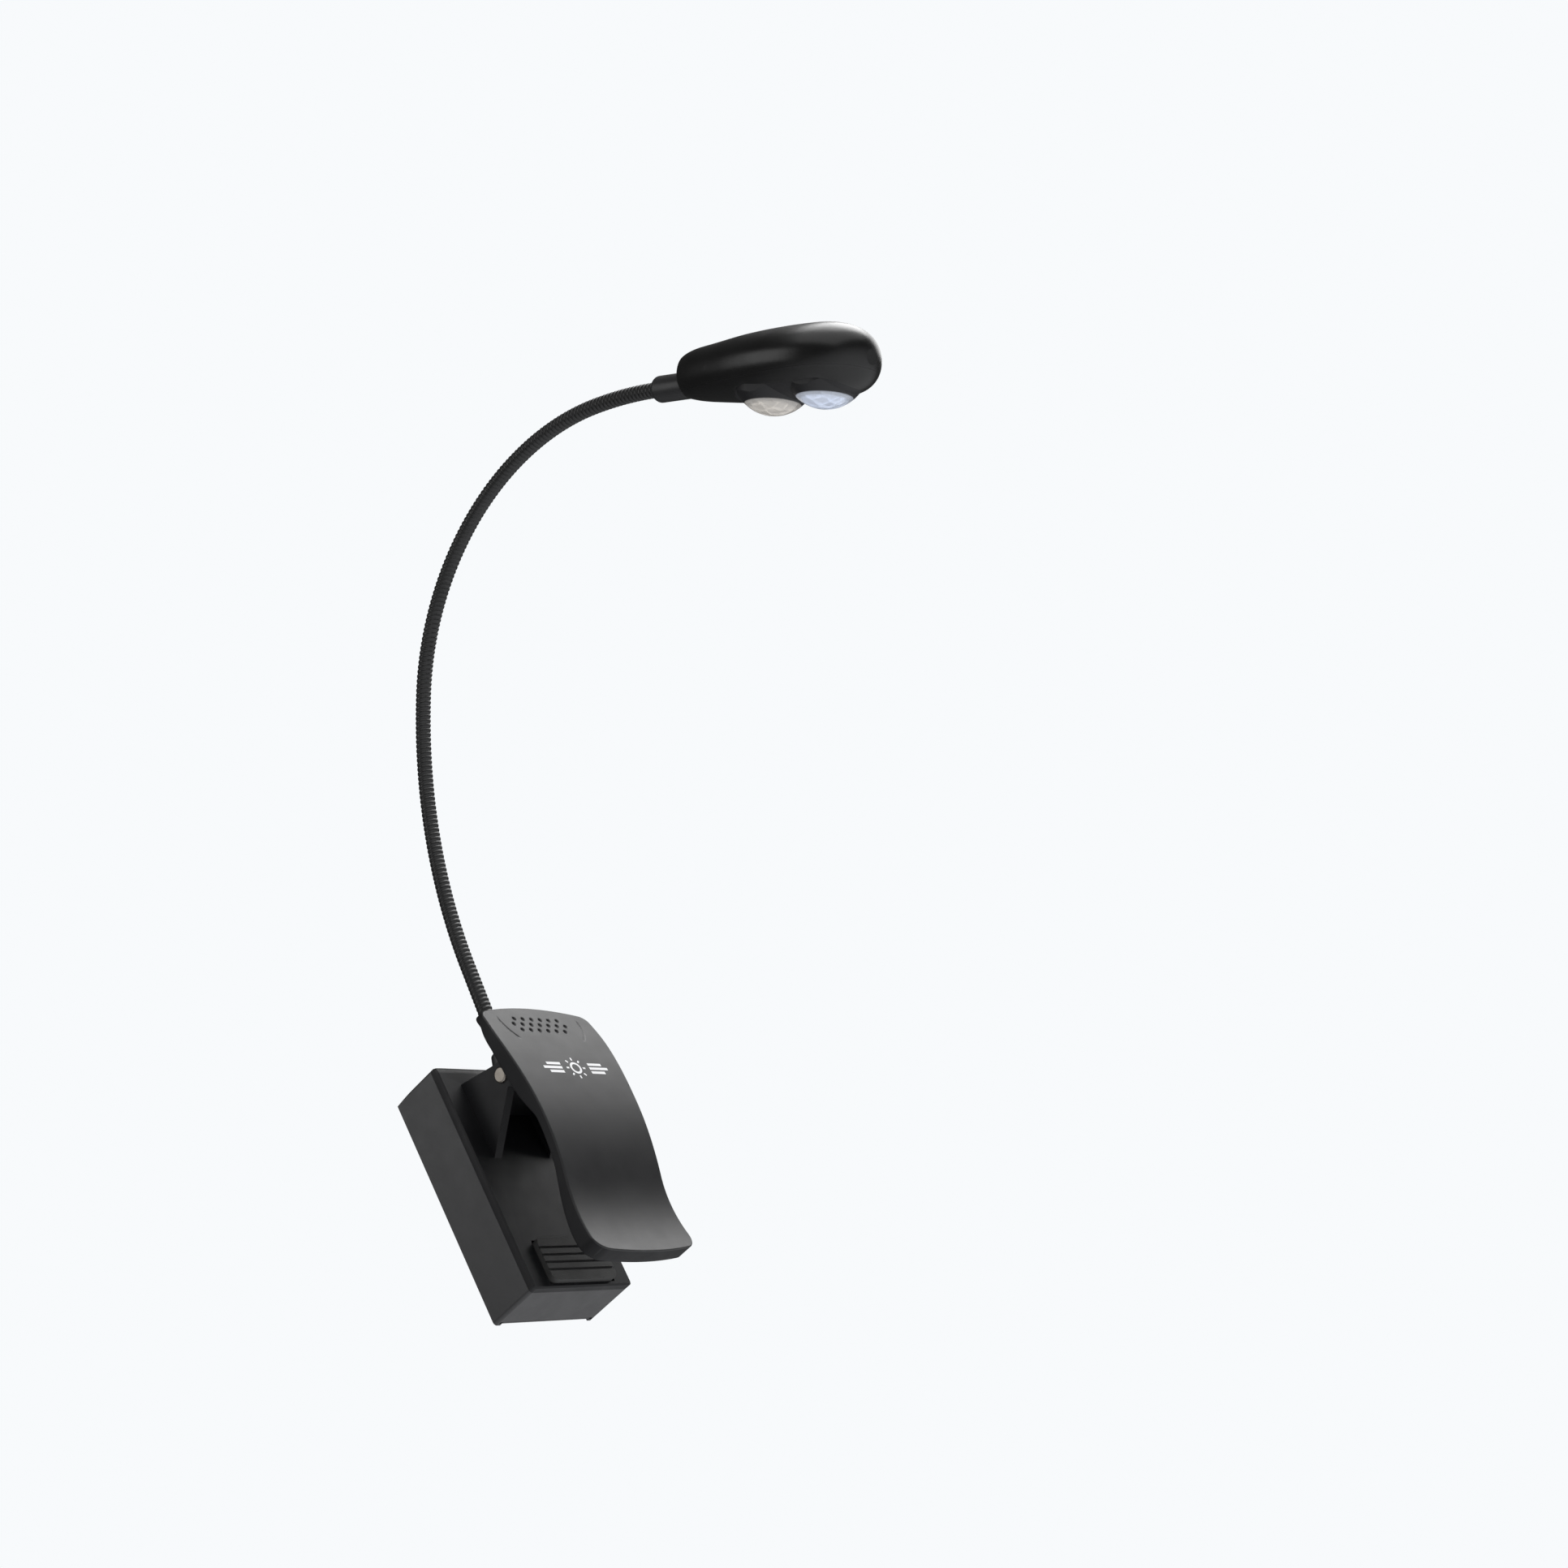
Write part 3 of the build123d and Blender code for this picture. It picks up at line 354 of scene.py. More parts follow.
# ------------------------------------------------------------------ camera, at the viewing angle of the photo
LENS_MM, SENSOR_MM = 64.83, 36.0
CAMERA_FROM_PIN = Vector((-626.7, -503.4, -376.9)) * MM
camera_data = bpy.data.cameras.new("camera")
camera_data.lens, camera_data.sensor_width = LENS_MM, SENSOR_MM
camera_data.clip_start, camera_data.clip_end = 0.01, 20
camera = bpy.data.objects.new("camera", camera_data)
bpy.context.scene.collection.objects.link(camera)
bpy.context.scene.camera = camera
right = Vector((0.6428, -0.6351, -0.4284)).normalized()
forward = Vector((0.7587, 0.4508, 0.4702)).normalized()
up = right.cross(forward).normalized()
right = forward.cross(up).normalized()
camera.matrix_world = placed(PIN + CAMERA_FROM_PIN, right, up, -forward)

# ------------------------------------------------------------------ front plate
# front face in side view: two arcs that meet at the apex, and a flare the other way below the bend
APEX = Vector((0, -29.9, 37.0)) * MM
UPPER_R, LOWER_R, FLARE_R = 135 * MM, 96 * MM, 46.5 * MM
BEND_Z = 12 * MM
# outline in front view
PLATE_TOP, PLATE_SHOULDER = 76 * MM, 73 * MM
PLATE_TIP, TIP_ARCH = -13.6 * MM, 2.09 * MM
SIDE_POINTS = [  # z, half width
    (-0.0136, 0.0217), (0.010, 0.02105), (0.037, 0.0221), (0.061, 0.02373), (0.073, 0.0231)
]
TOP_R, TIP_R = 3.8 * MM, 5.5 * MM
# thickness and edges
PLATE_T, RIM_T, RIM_DEPTH, TIP_RIM_DEPTH = 2.2 * MM, 1.6 * MM, 3.4 * MM, 6.0 * MM
EDGE_R, BACK_R = 0.5 * MM, 0.35 * MM
EDGE_STEPS, BACK_STEPS = 6, 4
TIP_RIM_START, TIP_RIM_RUN = 20 * MM, 28 * MM  # height below which the rim deepens, and over how much
BROW = [  # z, y of the rim's back edge beside the hinge
    (0.032, -0.0267), (0.043, -0.0239), (0.058, -0.0231), (0.069, -0.0229), (0.070, -0.0260)
]
# dimples, in rows of 6, 7 and 6, and the two bowed grooves beside them
DIMPLE_R, DIMPLE_DEPTH = 0.85 * MM, 0.5 * MM
DIMPLE_PITCH_X, DIMPLE_PITCH_Z = 3.75 * MM, 2.5 * MM
DIMPLE_X, DIMPLE_Z = -1.0 * MM, 67.8 * MM
GROOVE_X, GROOVE_Z, GROOVE_R = 17.4 * MM, 70.2 * MM, 13 * MM
GROOVE_W, GROOVE_DEPTH = 0.7 * MM, 0.28 * MM
GROOVE_LOW, GROOVE_HIGH, GROOVE_FADE = radians(-44), radians(4), radians(5)
# steps of the mesh: along half an end, round half a corner, and up a side below and above the grip
FLAT, CORNER, SIDE_COARSE, SIDE_FINE = ((90, 24, 44, 50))
GRIP_LOW = 58 * MM
bend_angle = asin((APEX.z - BEND_Z) / LOWER_R)
flare_y = APEX.y + LOWER_R - (LOWER_R + FLARE_R) * cos(bend_angle)
flare_z = APEX.z - (LOWER_R + FLARE_R) * sin(bend_angle)


def plate_point(x, z, depth):
    """A point at a height and a depth behind the front face, measured square to it."""
    if z < APEX.z - (LOWER_R - depth) * sin(bend_angle):
        return Vector((x, flare_y + sqrt((FLARE_R + depth) ** 2 - (z - flare_z) ** 2), z))
    radius = UPPER_R if z > APEX.z else LOWER_R
    return Vector((x, APEX.y + radius - sqrt((radius - depth) ** 2 - (z - APEX.z) ** 2), z))


def arc_points(centre, radius, start, stop, count):
    """Points along an arc from one angle to another."""
    return [
        (centre[0] + radius * cos(start + (stop - start) * i / count),
         centre[1] + radius * sin(start + (stop - start) * i / count))
        for i in range(count + 1)
    ]


def bowed_end(level, bow, radius, inset, sense):
    """Corner centre, lean and edge of the plate's end that bows beyond a level; sense is 1 up, -1 down."""
    width = curve_through(SIDE_POINTS, level)

    def edge(x):
        return level + sense * (bow * (1 - (x / width) ** 2) - inset)

    height = level - sense * radius
    for _ in range(4):
        x = curve_through(SIDE_POINTS, height) - inset - radius
        lean = atan2(2 * bow * x, width**2)
        height = edge(x + radius * sin(lean)) - sense * radius * cos(lean)
    return x, height, lean, edge


def plate_half_outline(inset):
    """Right half of the plate's outline, from the middle of the tip to the middle of the top."""
    top_r, tip_r = TOP_R - inset, TIP_R - inset
    tip_x, low, tip_lean, tip_edge = bowed_end(PLATE_TIP, TIP_ARCH, tip_r, inset, -1)
    top_x, high, top_lean, top_edge = bowed_end(PLATE_SHOULDER, PLATE_TOP - PLATE_SHOULDER, top_r, inset, 1)
    levels = [low + (GRIP_LOW - low) * i / SIDE_COARSE for i in range(1, SIDE_COARSE + 1)]
    levels += [GRIP_LOW + (high - GRIP_LOW) * i / SIDE_FINE for i in range(1, SIDE_FINE)]
    tip_end, top_end = tip_x + tip_r * sin(tip_lean), top_x + top_r * sin(top_lean)
    points = [(tip_end * i / FLAT, tip_edge(tip_end * i / FLAT)) for i in range(FLAT)]
    points += arc_points((tip_x, low), tip_r, tip_lean - pi / 2, 0, CORNER * 2)
    points += [(curve_through(SIDE_POINTS, z) - inset, z) for z in levels]
    points += arc_points((top_x, high), top_r, 0, pi / 2 - top_lean, CORNER * 2)
    points += [(top_end * (1 - i / FLAT), top_edge(top_end * (1 - i / FLAT))) for i in range(1, FLAT + 1)]
    return points


def plate_outline(inset):
    """The whole outline at an inset, as its four sides: tip, right, top and left."""
    half = plate_half_outline(inset)
    turn_low, turn_high = FLAT + CORNER, len(half) - 1 - FLAT - CORNER
    mirrored = [(-x, z) for x, z in half]
    tip = mirrored[turn_low:0:-1] + half[: turn_low + 1]
    top = mirrored[turn_high:-1] + half[: turn_high - 1 : -1]
    return tip, half[turn_low : turn_high + 1], top, mirrored[turn_low : turn_high + 1]


def plate_loop(inset, depth_of):
    """A closed loop of points round the plate at an inset, each at its own depth."""
    tip, right_side, top, left_side = plate_outline(inset)
    loop = tip[:-1] + right_side[:-1] + top[:0:-1] + left_side[:0:-1]
    return [plate_point(x, z, depth_of(x, z)) for x, z in loop]


def plate_grid(inset, depth_of):
    """Rows of points that fill the outline, blended from its four sides."""
    tip, right_side, top, left_side = (np.array(side) for side in plate_outline(inset))
    across, along = len(tip), len(right_side)
    rows = []
    for j in range(along):
        v = j / (along - 1)
        row = []
        for i in range(across):
            u = i / (across - 1)
            corners = (
                (1 - u) * (1 - v) * tip[0] + u * (1 - v) * tip[-1] + (1 - u) * v * top[0] + u * v * top[-1]
            )
            x, z = (1 - v) * tip[i] + v * top[i] + (1 - u) * left_side[j] + u * right_side[j] - corners
            row.append(plate_point(x, z, depth_of(x, z)))
        rows.append(row)
    return rows


def grip_depth(x, z):
    """Depth of the dimples and the two bowed grooves in the front face."""
    depth = 0.0
    ball = (DIMPLE_R**2 + DIMPLE_DEPTH**2) / (2 * DIMPLE_DEPTH)
    for row in (-1, 0, 1):
        count = 7 if row == 0 else 6
        offset = (count - 1) / 2
        dz = z - DIMPLE_Z - row * DIMPLE_PITCH_Z
        column = round((x - DIMPLE_X) / DIMPLE_PITCH_X + offset)
        if not 0 <= column < count:
            continue
        reach = hypot(x - DIMPLE_X - (column - offset) * DIMPLE_PITCH_X, dz)
        if reach < DIMPLE_R:
            depth = max(depth, sqrt(ball**2 - reach**2) - (ball - DIMPLE_DEPTH))
    from_centre = Vector((abs(x) - (GROOVE_X - GROOVE_R), z - GROOVE_Z))
    off_line = abs(from_centre.length - GROOVE_R) / (GROOVE_W / 2)
    angle = atan2(from_centre.y, from_centre.x)
    to_end = min(angle - GROOVE_LOW, GROOVE_HIGH - angle)
    if off_line < 1 and to_end > 0:
        depth = max(depth, GROOVE_DEPTH * (1 - off_line**2) * min(1, to_end / GROOVE_FADE))
    return depth


def rim_depth(z):
    """How far the rim reaches back; it deepens towards the tip and beside the hinge."""
    share = min(max((TIP_RIM_START - z) / TIP_RIM_RUN, 0), 1)
    depth = RIM_DEPTH + (TIP_RIM_DEPTH - RIM_DEPTH) * share**2 * (3 - 2 * share)
    if not BROW[0][0] < z < BROW[-1][0]:
        return depth
    radius = UPPER_R if z > APEX.z else LOWER_R
    reach = radius - hypot(APEX.y + radius - curve_through(BROW, z), z - APEX.z)
    return max(depth, reach)


def grid_skin(rows):
    """Points and faces of a skin over rows of equal length."""
    across = len(rows[0])
    verts = [v for row in rows for v in row]
    faces = [
        (j * across + i, j * across + i + 1, (j + 1) * across + i + 1, (j + 1) * across + i)
        for j in range(len(rows) - 1)
        for i in range(across - 1)
    ]
    return verts, faces


def plate_edge_loops():
    """Loops round the plate, from the edge of its front face over the rim to the face behind."""
    loops = [plate_loop(EDGE_R, lambda x, z: 0)]
    for step in range(1, EDGE_STEPS + 1):
        turn = step / EDGE_STEPS * pi / 2
        depth = EDGE_R * (1 - cos(turn))
        loops.append(plate_loop(EDGE_R * (1 - sin(turn)), lambda x, z: depth))
    for share in (0.35, 0.7):
        loops.append(plate_loop(0, lambda x, z: EDGE_R + (rim_depth(z) - BACK_R - EDGE_R) * share))
    turns = [step / BACK_STEPS * pi / 2 for step in range(BACK_STEPS + 1)]
    for turn in turns:
        inset, rise = BACK_R * (1 - cos(turn)), BACK_R * (1 - sin(turn))
        loops.append(plate_loop(inset, lambda x, z: rim_depth(z) - rise))
    for turn in turns:
        inset, rise = RIM_T - BACK_R * (1 - sin(turn)), BACK_R * (1 - cos(turn))
        loops.append(plate_loop(inset, lambda x, z: rim_depth(z) - rise))
    loops.append(plate_loop(RIM_T, lambda x, z: PLATE_T))
    return loops


def make_plate():
    """The front plate: its face with dimples and grooves, its rim, and the face behind."""
    verts, faces = [], []
    for skin_verts, skin_faces in (
        grid_skin(plate_grid(EDGE_R, grip_depth)),
        bridge_loops(plate_edge_loops()),
        grid_skin(plate_grid(RIM_T, lambda x, z: PLATE_T)),
    ):
        faces += [tuple(len(verts) + i for i in face) for face in skin_faces]
        verts += skin_verts
    plate = make_object(
        "front_plate_shell", verts, faces, PLATE, "front_jaw", ["front_plate"]
    )
    # Painted shade: faces in the dimples, on the rim and on the face behind take a darker, less glossy copy
    # of the plate plastic.
    plate.data.materials.append(PLATE_PAINTED_SHADE)
    for face in plate.data.polygons:
        x, y, z = face.center
        behind = y - plate_point(x, z, 0).y
        painted_shade_in_dimple = z > GRIP_LOW and abs(x - DIMPLE_X) < 3.3 * DIMPLE_PITCH_X and behind > 0.16 * MM
        face.material_index = int(painted_shade_in_dimple or behind > EDGE_R)
    fix_normals(plate.data)
    shade_by_angle(plate.data, 50)


def bevelled_prism(name, outline, low, high, bevel, holes=()):
    """A piece of the front plate: an outline in Y and Z drawn from one X to another, with rounded edges
    and round holes (y, z, radius)."""
    work = bmesh.new()
    face = work.faces.new([work.verts.new((low, y, z)) for y, z in outline])
    grown = bmesh.ops.extrude_face_region(work, geom=[face])
    bmesh.ops.translate(
        work, verts=[v for v in grown["geom"] if isinstance(v, bmesh.types.BMVert)], vec=(high - low, 0, 0)
    )
    bmesh.ops.recalc_face_normals(work, faces=work.faces)
    bmesh.ops.bevel(
        work, geom=[e for e in work.edges if e.calc_face_angle(0) > radians(25)], offset=bevel,
        segments=3, profile=0.5, affect="EDGES", clamp_overlap=True
    )
    mesh = bpy.data.meshes.new(name)
    work.to_mesh(mesh)
    work.free()
    # The lugs and the ledge take the darker, less glossy copy of the plate plastic: painted shade.
    piece = finish_object(name, mesh, PLATE_PAINTED_SHADE)
    for y, z, radius in holes:
        bpy.ops.mesh.primitive_cylinder_add(
            vertices=48, radius=radius, depth=abs(high - low) * 3, location=((low + high) / 2, y, z),
            rotation=(0, pi / 2, 0)
        )
        cutter = bpy.context.object
        cut = piece.modifiers.new("hole", "BOOLEAN")
        cut.operation, cut.object, cut.solver = "DIFFERENCE", cutter, "EXACT"
        apply_modifiers(piece)
        bpy.data.objects.remove(cutter)
    shade_by_angle(piece.data, 35)
    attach(piece, "front_jaw")


LUG_R, LUG_IN, LUG_OUT, PIN_HOLE_R = 3.9 * MM, 7.4 * MM, 10 * MM, 1.55 * MM
LUG_RISE, LUG_DROP, LUG_AHEAD = 9 * MM, 14 * MM, 10 * MM
LEDGE_W, LEDGE_L = 2.6 * MM, 8 * MM
LEDGE_LOW, LEDGE_HIGH = 0.1 * MM, 2.1 * MM


def make_lugs():
    """The plate's two lugs round the hinge pin, and the ledge under the spring's front leg."""
    top, bottom, ahead = PIN.z + LUG_RISE, PIN.z - LUG_DROP, PIN.y - LUG_AHEAD
    in_plate = [plate_point(0, z, PLATE_T / 2).y for z in (top, bottom)]
    outline = arc_points((PIN.y, PIN.z), LUG_R, radians(-105), radians(105), 24)
    outline += [(ahead, top), (in_plate[0], top), (in_plate[1], bottom), (ahead, bottom)]
    hole = [(PIN.y, PIN.z, PIN_HOLE_R)]
    bevelled_prism("plate_lug_right", outline, LUG_IN, LUG_OUT, 0.25 * MM, hole)
    bevelled_prism("plate_lug_left", outline, -LUG_OUT, -LUG_IN, 0.25 * MM, hole)
    front, back = PIN.y - LUG_R - LEDGE_L, PIN.y - LUG_R
    low, high = PIN.z + LEDGE_LOW, PIN.z + LEDGE_HIGH
    corners = [(front, low), (back, low), (back, high), (front, high)]
    bevelled_prism("spring_ledge", corners, LUG_IN - LEDGE_W, LUG_IN, 0.2 * MM)


# ------------------------------------------------------------------ gooseneck
NECK_START = PIN + Vector((0, 7.4, 14)) * MM  # at the gland's mouth
NECK_LEAN = radians(4.5)
NECK_FOOT = 32.5 * MM  # straight length before the arcs, which are (radius, turn)
NECK_ARCS = [(177 * MM, radians(30.6)), (86.2 * MM, radians(82.6)), (150 * MM, radians(10.5))]
NECK_L = NECK_FOOT + sum(radius * turn for radius, turn in NECK_ARCS)
NECK_R, RIB_DEPTH = 2.49 * MM, 0.24 * MM
SPANS, RIBS_PER_SPAN = 12, 15
NECK_COUNT, RINGS_PER_RIB = ((28, 10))
IN_GLAND, IN_COLLAR = 9 * MM, 8 * MM
BLEND_MARGIN = 0.06  # share of a span at each end; the points it marks are worked out but not used
COLLAR_L, COLLAR_R = 13.4 * MM, 4.2 * MM
GLAND_L, GLAND_R = 11.5 * MM, 4.4 * MM
SLEEVE_BORE = 2.56 * MM


def neck_point(distance):
    """Centreline point and unit direction at a distance from the gland's mouth."""
    y, z, angle = NECK_START.y, NECK_START.z, NECK_LEAN
    straight = min(distance, NECK_FOOT)
    y -= straight * sin(angle)
    z += straight * cos(angle)
    distance -= straight
    for radius, turn in NECK_ARCS:
        bend = min(max(distance, 0) / radius, turn)
        y -= radius * (cos(angle) - cos(angle + bend))
        z += radius * (sin(angle + bend) - sin(angle))
        angle += bend
        distance -= radius * bend
    distance = max(distance, 0)
    direction = Vector((0, -sin(angle), cos(angle)))
    return Vector((0, y, z)) + distance * direction, direction


def ribbed_radius(distance, angle):
    """Radius of the wound neck: one rounded thread with a narrow valley."""
    phase = distance / (NECK_L / SPANS / RIBS_PER_SPAN) - angle / (2 * pi)
    valley = (0.5 + 0.5 * cos(2 * pi * phase)) ** 2
    return NECK_R - RIB_DEPTH * valley


def neck_ring(distance):
    """Points round the neck's ribbed skin at a distance."""
    centre, direction = neck_point(distance)
    side = Vector((1, 0, 0))
    over = direction.cross(side)
    ring = []
    for i in range(NECK_COUNT):
        angle = 2 * pi * i / NECK_COUNT
        radius = ribbed_radius(distance, angle)
        ring.append(centre + side * (radius * cos(angle)) + over * (radius * sin(angle)))
    return ring


def make_neck():
    """The neck's skin in pieces, one for each span of the chain."""
    span = NECK_L / SPANS
    rings = RIBS_PER_SPAN * RINGS_PER_RIB
    step = span / rings
    for number in range(SPANS):
        start, stop = span * number, span * (number + 1)
        low = -IN_GLAND if number == 0 else start
        high = NECK_L + IN_COLLAR if number == SPANS - 1 else stop
        places = [start + (stop - start) * i / rings for i in range(rings + 1)]
        while places[0] - step > low:
            places.insert(0, places[0] - step)
        while places[-1] + step < high:
            places.append(places[-1] + step)
        verts, faces = bridge_loops([neck_ring(place) for place in places])
        piece = make_object(f"neck_skin_{number + 1:02d}", verts, faces, NECK)
        replaced = ["neck_root_span"] if number == 0 else [f"neck_span_{number:02d}"]
        if number == SPANS - 1:
            replaced.append("neck_tip_span")
        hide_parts(*replaced)
        blend_start = neck_point(start + span * BLEND_MARGIN)[0]
        blend_stop = neck_point(stop - span * BLEND_MARGIN)[0]
        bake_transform(piece)


def make_sleeve(name, origin, direction, profile, body, replaced, slot):
    """A turned sleeve: (distance along, radius) points round an axis."""
    direction = Vector(direction).normalized()
    side = direction.orthogonal().normalized()
    over = direction.cross(side)
    count = 64
    loops = [
        [
            origin + direction * along
            + (side * cos(2 * pi * i / count) + over * sin(2 * pi * i / count)) * radius
            for i in range(count)
        ]
        for along, radius in profile
    ]
    verts, faces = bridge_loops(loops)
    piece = make_object(name, verts, faces, CLIP, body, [replaced])
    fix_normals(piece.data)
    shade_by_angle(piece.data, 40)
    return piece


def rounded(points, radius):
    """A profile with each corner between its ends rounded by a quadratic curve."""
    steps = 5
    out = [points[0]]
    for before, corner, after in zip(points, points[1:], points[2:]):
        a, b, c = Vector(before), Vector(corner), Vector(after)
        cut_a = min(radius, (a - b).length / 2)
        cut_c = min(radius, (c - b).length / 2)
        first, last = b + (a - b).normalized() * cut_a, b + (c - b).normalized() * cut_c
        for i in range(steps + 1):
            t = i / steps
            out.append(tuple(first * (1 - t) ** 2 + b * 2 * t * (1 - t) + last * t**2))
    out.append(points[-1])
    return out


head_origin, head_along = neck_point(NECK_L + COLLAR_L)
head_up = head_along.cross(Vector((1, 0, 0)))
LENS = lens_plastic(head_origin, head_along, head_up)


def make_collar_and_gland():
    """The sleeves at the two ends of the neck, each open where the neck goes in."""
    bore, collar_end = SLEEVE_BORE, COLLAR_L + 0.6 * MM
    collar = [
        (1.5 * MM, bore), (0, bore + 0.1 * MM), (0, 3.6 * MM), (1.0 * MM, COLLAR_R), (11.2 * MM, COLLAR_R),
        (collar_end, COLLAR_R), (collar_end, bore),
    ]
    make_sleeve(
        "head_collar_sleeve", *neck_point(NECK_L), rounded(collar, 0.5 * MM),
        "head", "head_collar", "head_plastic"
    )
    gland = [
        (-2 * MM, bore), (0, bore + 0.15 * MM), (0, 3.5 * MM), (-4.6 * MM, GLAND_R), (-GLAND_L, GLAND_R),
        (-GLAND_L, bore),
    ]
    make_sleeve(
        "neck_gland_sleeve", *neck_point(0), rounded(gland, 0.6 * MM),
        "clip_body", "neck_gland", "neck_skin"
    )


make_plate()
make_lugs()
make_neck()
make_collar_and_gland()


# ------------------------------------------------------------------ printed mark, a generic sun between bars
MARK_X, MARK_Z = 2.2 * MM, 49.6 * MM
INK_T = 0.03 * MM
SUN_IN, SUN_OUT = 1.5 * MM, 2.3 * MM
RAYS, RAY_IN, RAY_OUT, RAY_HALF_W = 8, 3.0 * MM, 4.1 * MM, 0.32 * MM
BARS = ((1.6, 6.0, 12.0), (0.0, 6.0, 14.0), (-1.6, 6.0, 12.0))  # height, start and end beside the sun, mm
BAR_HALF_H, BAR_STEPS = 0.5, 12


def make_mark():
    """The mark as one thin patch, laid just above the plate's face."""
    points, faces = [], []

    def add_strip(loop_a, loop_b, closed):
        start, count = len(points), len(loop_a)
        points.extend(loop_a + loop_b)
        for i in range(count if closed else count - 1):
            j = (i + 1) % count
            faces.append((start + i, start + j, start + count + j, start + count + i))

    def ring(radius):
        count = 32
        return [
            (MARK_X + radius * cos(2 * pi * i / count), MARK_Z + radius * sin(2 * pi * i / count))
            for i in range(count)
        ]

    add_strip(ring(SUN_IN), ring(SUN_OUT), True)
    centre = Vector((MARK_X, MARK_Z))
    for number in range(RAYS):
        turn = number * 2 * pi / RAYS
        along, over = Vector((cos(turn), sin(turn))), Vector((-sin(turn), cos(turn)))
        near = [tuple(centre + along * RAY_IN + over * side * RAY_HALF_W) for side in (-1, 1)]
        far = [tuple(centre + along * RAY_OUT + over * side * RAY_HALF_W) for side in (-1, 1)]
        add_strip(near, far, False)
    for side in (-1, 1):
        for height, inner, outer in BARS:
            steps = [inner + (outer - inner) * i / BAR_STEPS for i in range(BAR_STEPS + 1)]
            low = [(MARK_X + side * s * MM, MARK_Z + (height - BAR_HALF_H) * MM) for s in steps]
            high = [(MARK_X + side * s * MM, MARK_Z + (height + BAR_HALF_H) * MM) for s in steps]
            add_strip(low, high, False)
    verts = [plate_point(x, z, -INK_T) for x, z in points]
    patch = make_object("printed_mark", verts, faces, PRINT, "front_jaw")
    fix_normals(patch.data)


make_mark()

# ------------------------------------------------------------------ CAD nodes that are shown as they are
NODE_LOOKS = {  # material, width of the bevel on its edges in mm
    "housing_front": (CLIP_PAINTED_SHADE, 0.35), "housing_rear": (CLIP, 0.35), "battery_cover": (CLIP, 0.25),
    "battery_cell_1": (CELL, 0), "battery_cell_2": (CELL, 0), "battery_cell_3": (CELL, 0),
    "contact_plates": (CONTACT, 0.08), "contact_springs": (SPRING, 0), "housing_screws": (SCREW, 0.08),
    "circuit_board": (BOARD, 0.08), "switch_body": (CLIP, 0.15), "switch_knob": (KNOB, 0.12),
    "rear_jaw_pad": (PAD, 0.15), "front_jaw_pad": (PAD, 0.15), "hinge_pin": (PIN_METAL, 0),
    "torsion_spring": (SPRING, 0), "lead_wires": (LEAD, 0), "head_leads": (LEAD, 0),
    "head_top_shell": (HEAD, 0.12), "head_bottom_shell": (HEAD, 0.12), "lens": (LENS, 0),
    "led_board": (BOARD, 0.08), "led_1": (LED, 0), "led_2": (LED, 0),
    "reflector_1": (MIRROR, 0), "reflector_2": (MIRROR, 0), "head_screws": (SCREW, 0.06),
}
for name, (look, bevel) in NODE_LOOKS.items():
    shown = frame["nodes"][name]
    shown.data.materials.clear()
    shown.data.materials.append(look)
    if bevel:
        edge = shown.modifiers.new("edges", "BEVEL")
        edge.width, edge.segments = bevel * MM, 3
        edge.limit_method, edge.angle_limit = "ANGLE", radians(35)

# ------------------------------------------------------------------ floor, light and picture settings
FLOOR_HALF, FLOOR_Z = 4, -0.42
floor_material = moulded_plastic("floor_paper", (0.80, 0.81, 0.83), (0.84, 0.85, 0.87), 0.85, 0.95, 900, 1e-5)
floor_corners = [(x * FLOOR_HALF, y * FLOOR_HALF, FLOOR_Z) for x, y in ((-1, -1), (1, -1), (1, 1), (-1, 1))]
floor = make_object("floor", floor_corners, [(0, 1, 2, 3)], floor_material, smooth=False)


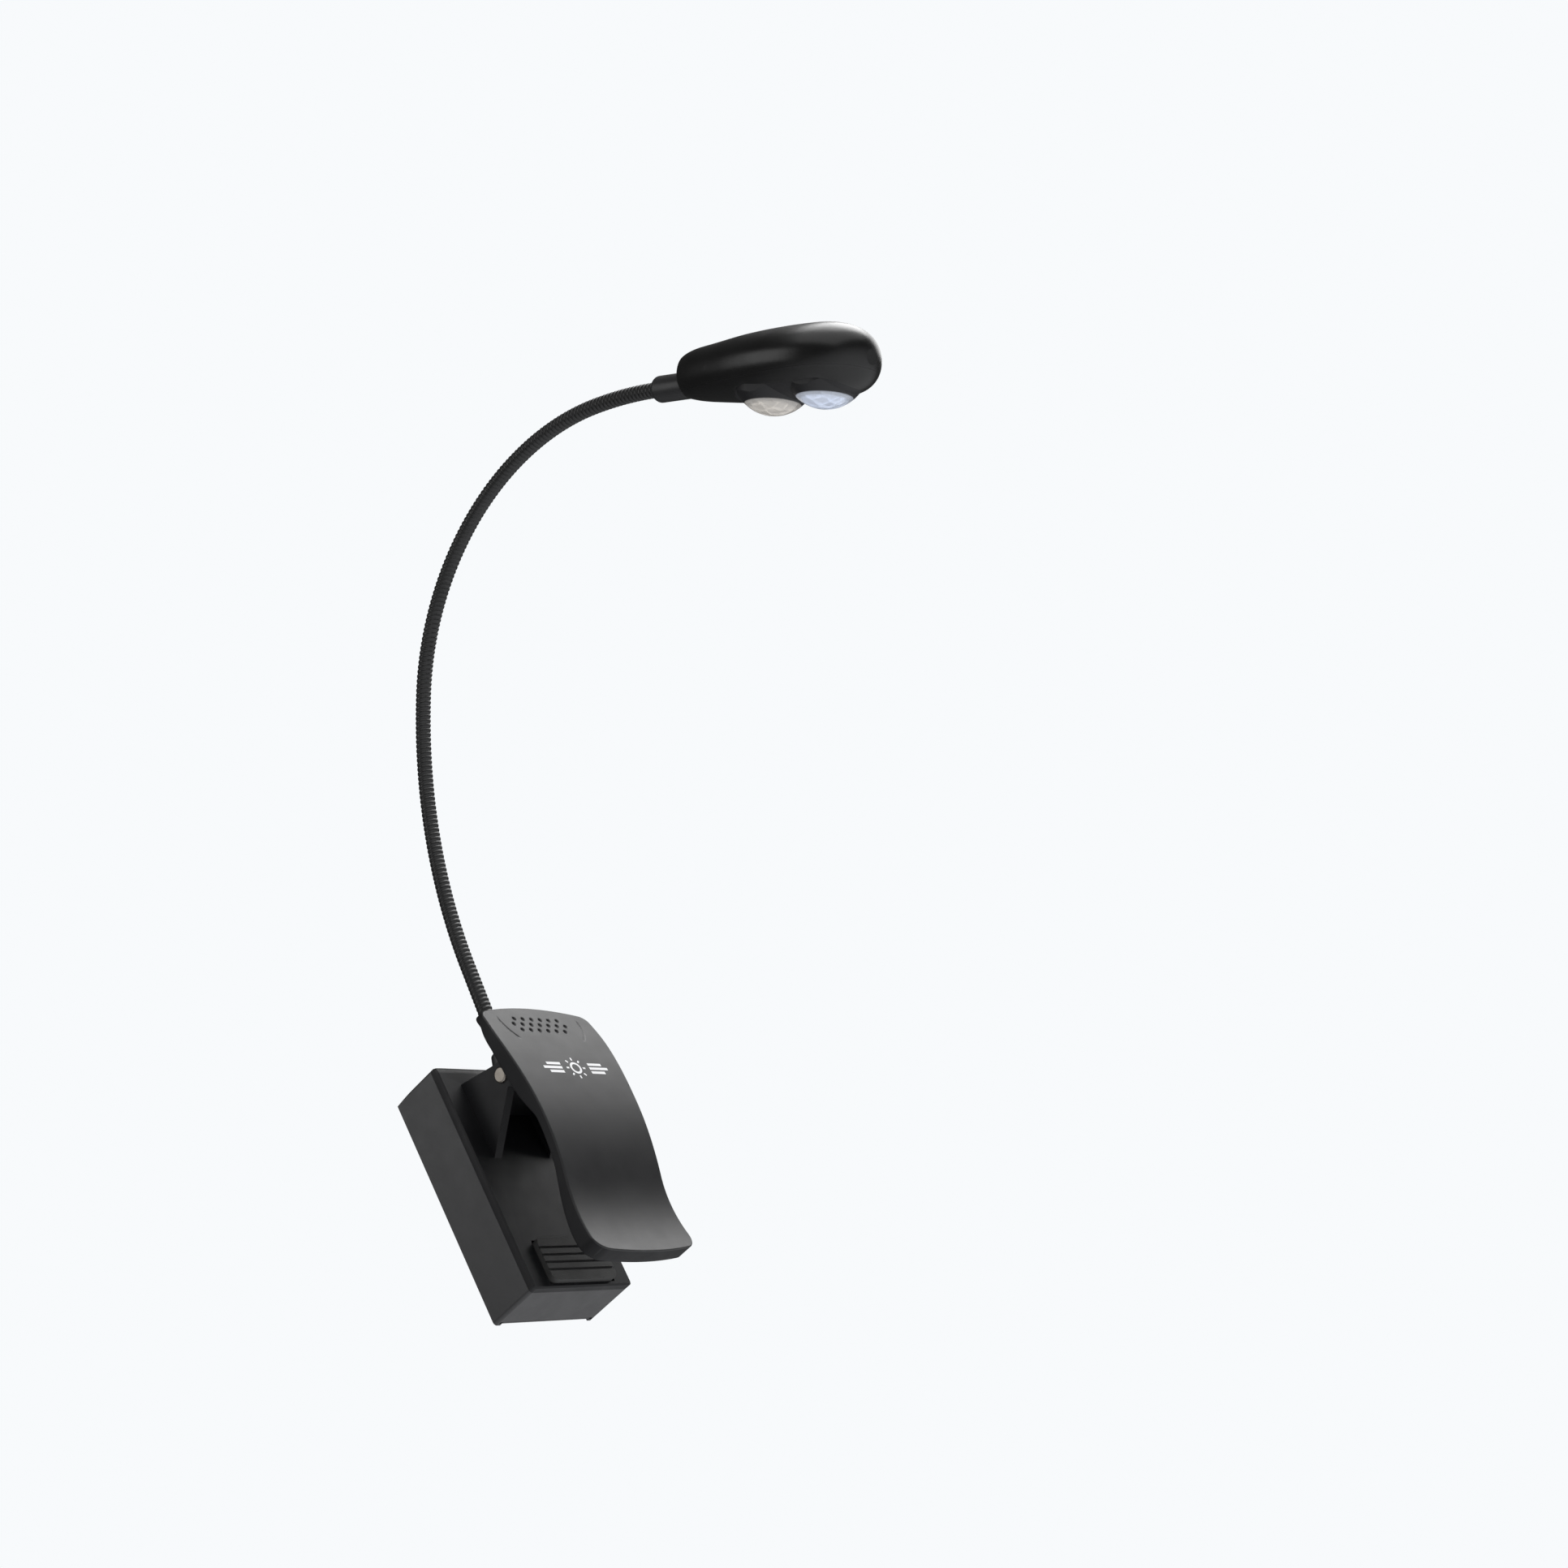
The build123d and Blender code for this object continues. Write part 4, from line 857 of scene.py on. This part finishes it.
def softbox(name, place, target, size, power):
    """A rectangular light at a place, facing its target."""
    lamp = bpy.data.lights.new(name, "AREA")
    lamp.shape, lamp.size, lamp.size_y = "RECTANGLE", size[0], size[1]
    lamp.energy = power
    obj = bpy.data.objects.new(name, lamp)
    bpy.context.scene.collection.objects.link(obj)
    away = (place - target).normalized()
    side = Vector((1, 0, 0)) - away * away.x
    side.normalize()
    over = away.cross(side)
    obj.matrix_world = placed(place, side, over, away)


middle = Vector((0, -0.10, 0.10))
softbox("back_light", middle + right * 0.45 + up * 0.85 + forward * 0.85, middle, (1.3, 0.9), 9)
softbox("top_light", middle + up * 1.2 - forward * 0.1, middle, (2.0, 1.4), 9)
head_middle = head_origin + head_along * 40 * MM
softbox("head_light", head_middle + up * 0.42 + forward * 0.26 + right * 0.05, head_middle, (0.45, 0.3), 1.3)
softbox("left_light", middle - right * 1.2 + up * 0.25 - forward * 0.15, middle, (0.6, 0.8), 2.2)

world = bpy.data.worlds.new("studio")
bpy.context.scene.world = world
world.use_nodes = True
world_tree = world.node_tree
world_tree.nodes.clear()
output = node(world_tree, "ShaderNodeOutputWorld")
shown_sky = node(world_tree, "ShaderNodeBackground")
shown_sky.inputs["Color"].default_value = (0.938, 0.956, 0.973, 1)
soft_sky = node(world_tree, "ShaderNodeBackground", Strength=0.6)
mirrored_sky = node(world_tree, "ShaderNodeBackground", Strength=0.06)
ray = node(world_tree, "ShaderNodeLightPath")
lit = node(world_tree, "ShaderNodeMixShader")
seen = node(world_tree, "ShaderNodeMixShader")
world_tree.links.new(ray.outputs["Is Diffuse Ray"], lit.inputs[0])
world_tree.links.new(mirrored_sky.outputs[0], lit.inputs[1])
world_tree.links.new(soft_sky.outputs[0], lit.inputs[2])
world_tree.links.new(ray.outputs["Is Camera Ray"], seen.inputs[0])
world_tree.links.new(lit.outputs[0], seen.inputs[1])
world_tree.links.new(shown_sky.outputs[0], seen.inputs[2])
world_tree.links.new(seen.outputs[0], output.inputs["Surface"])

bpy.context.scene.view_settings.view_transform = "Standard"
bpy.context.scene.view_settings.look = "None"
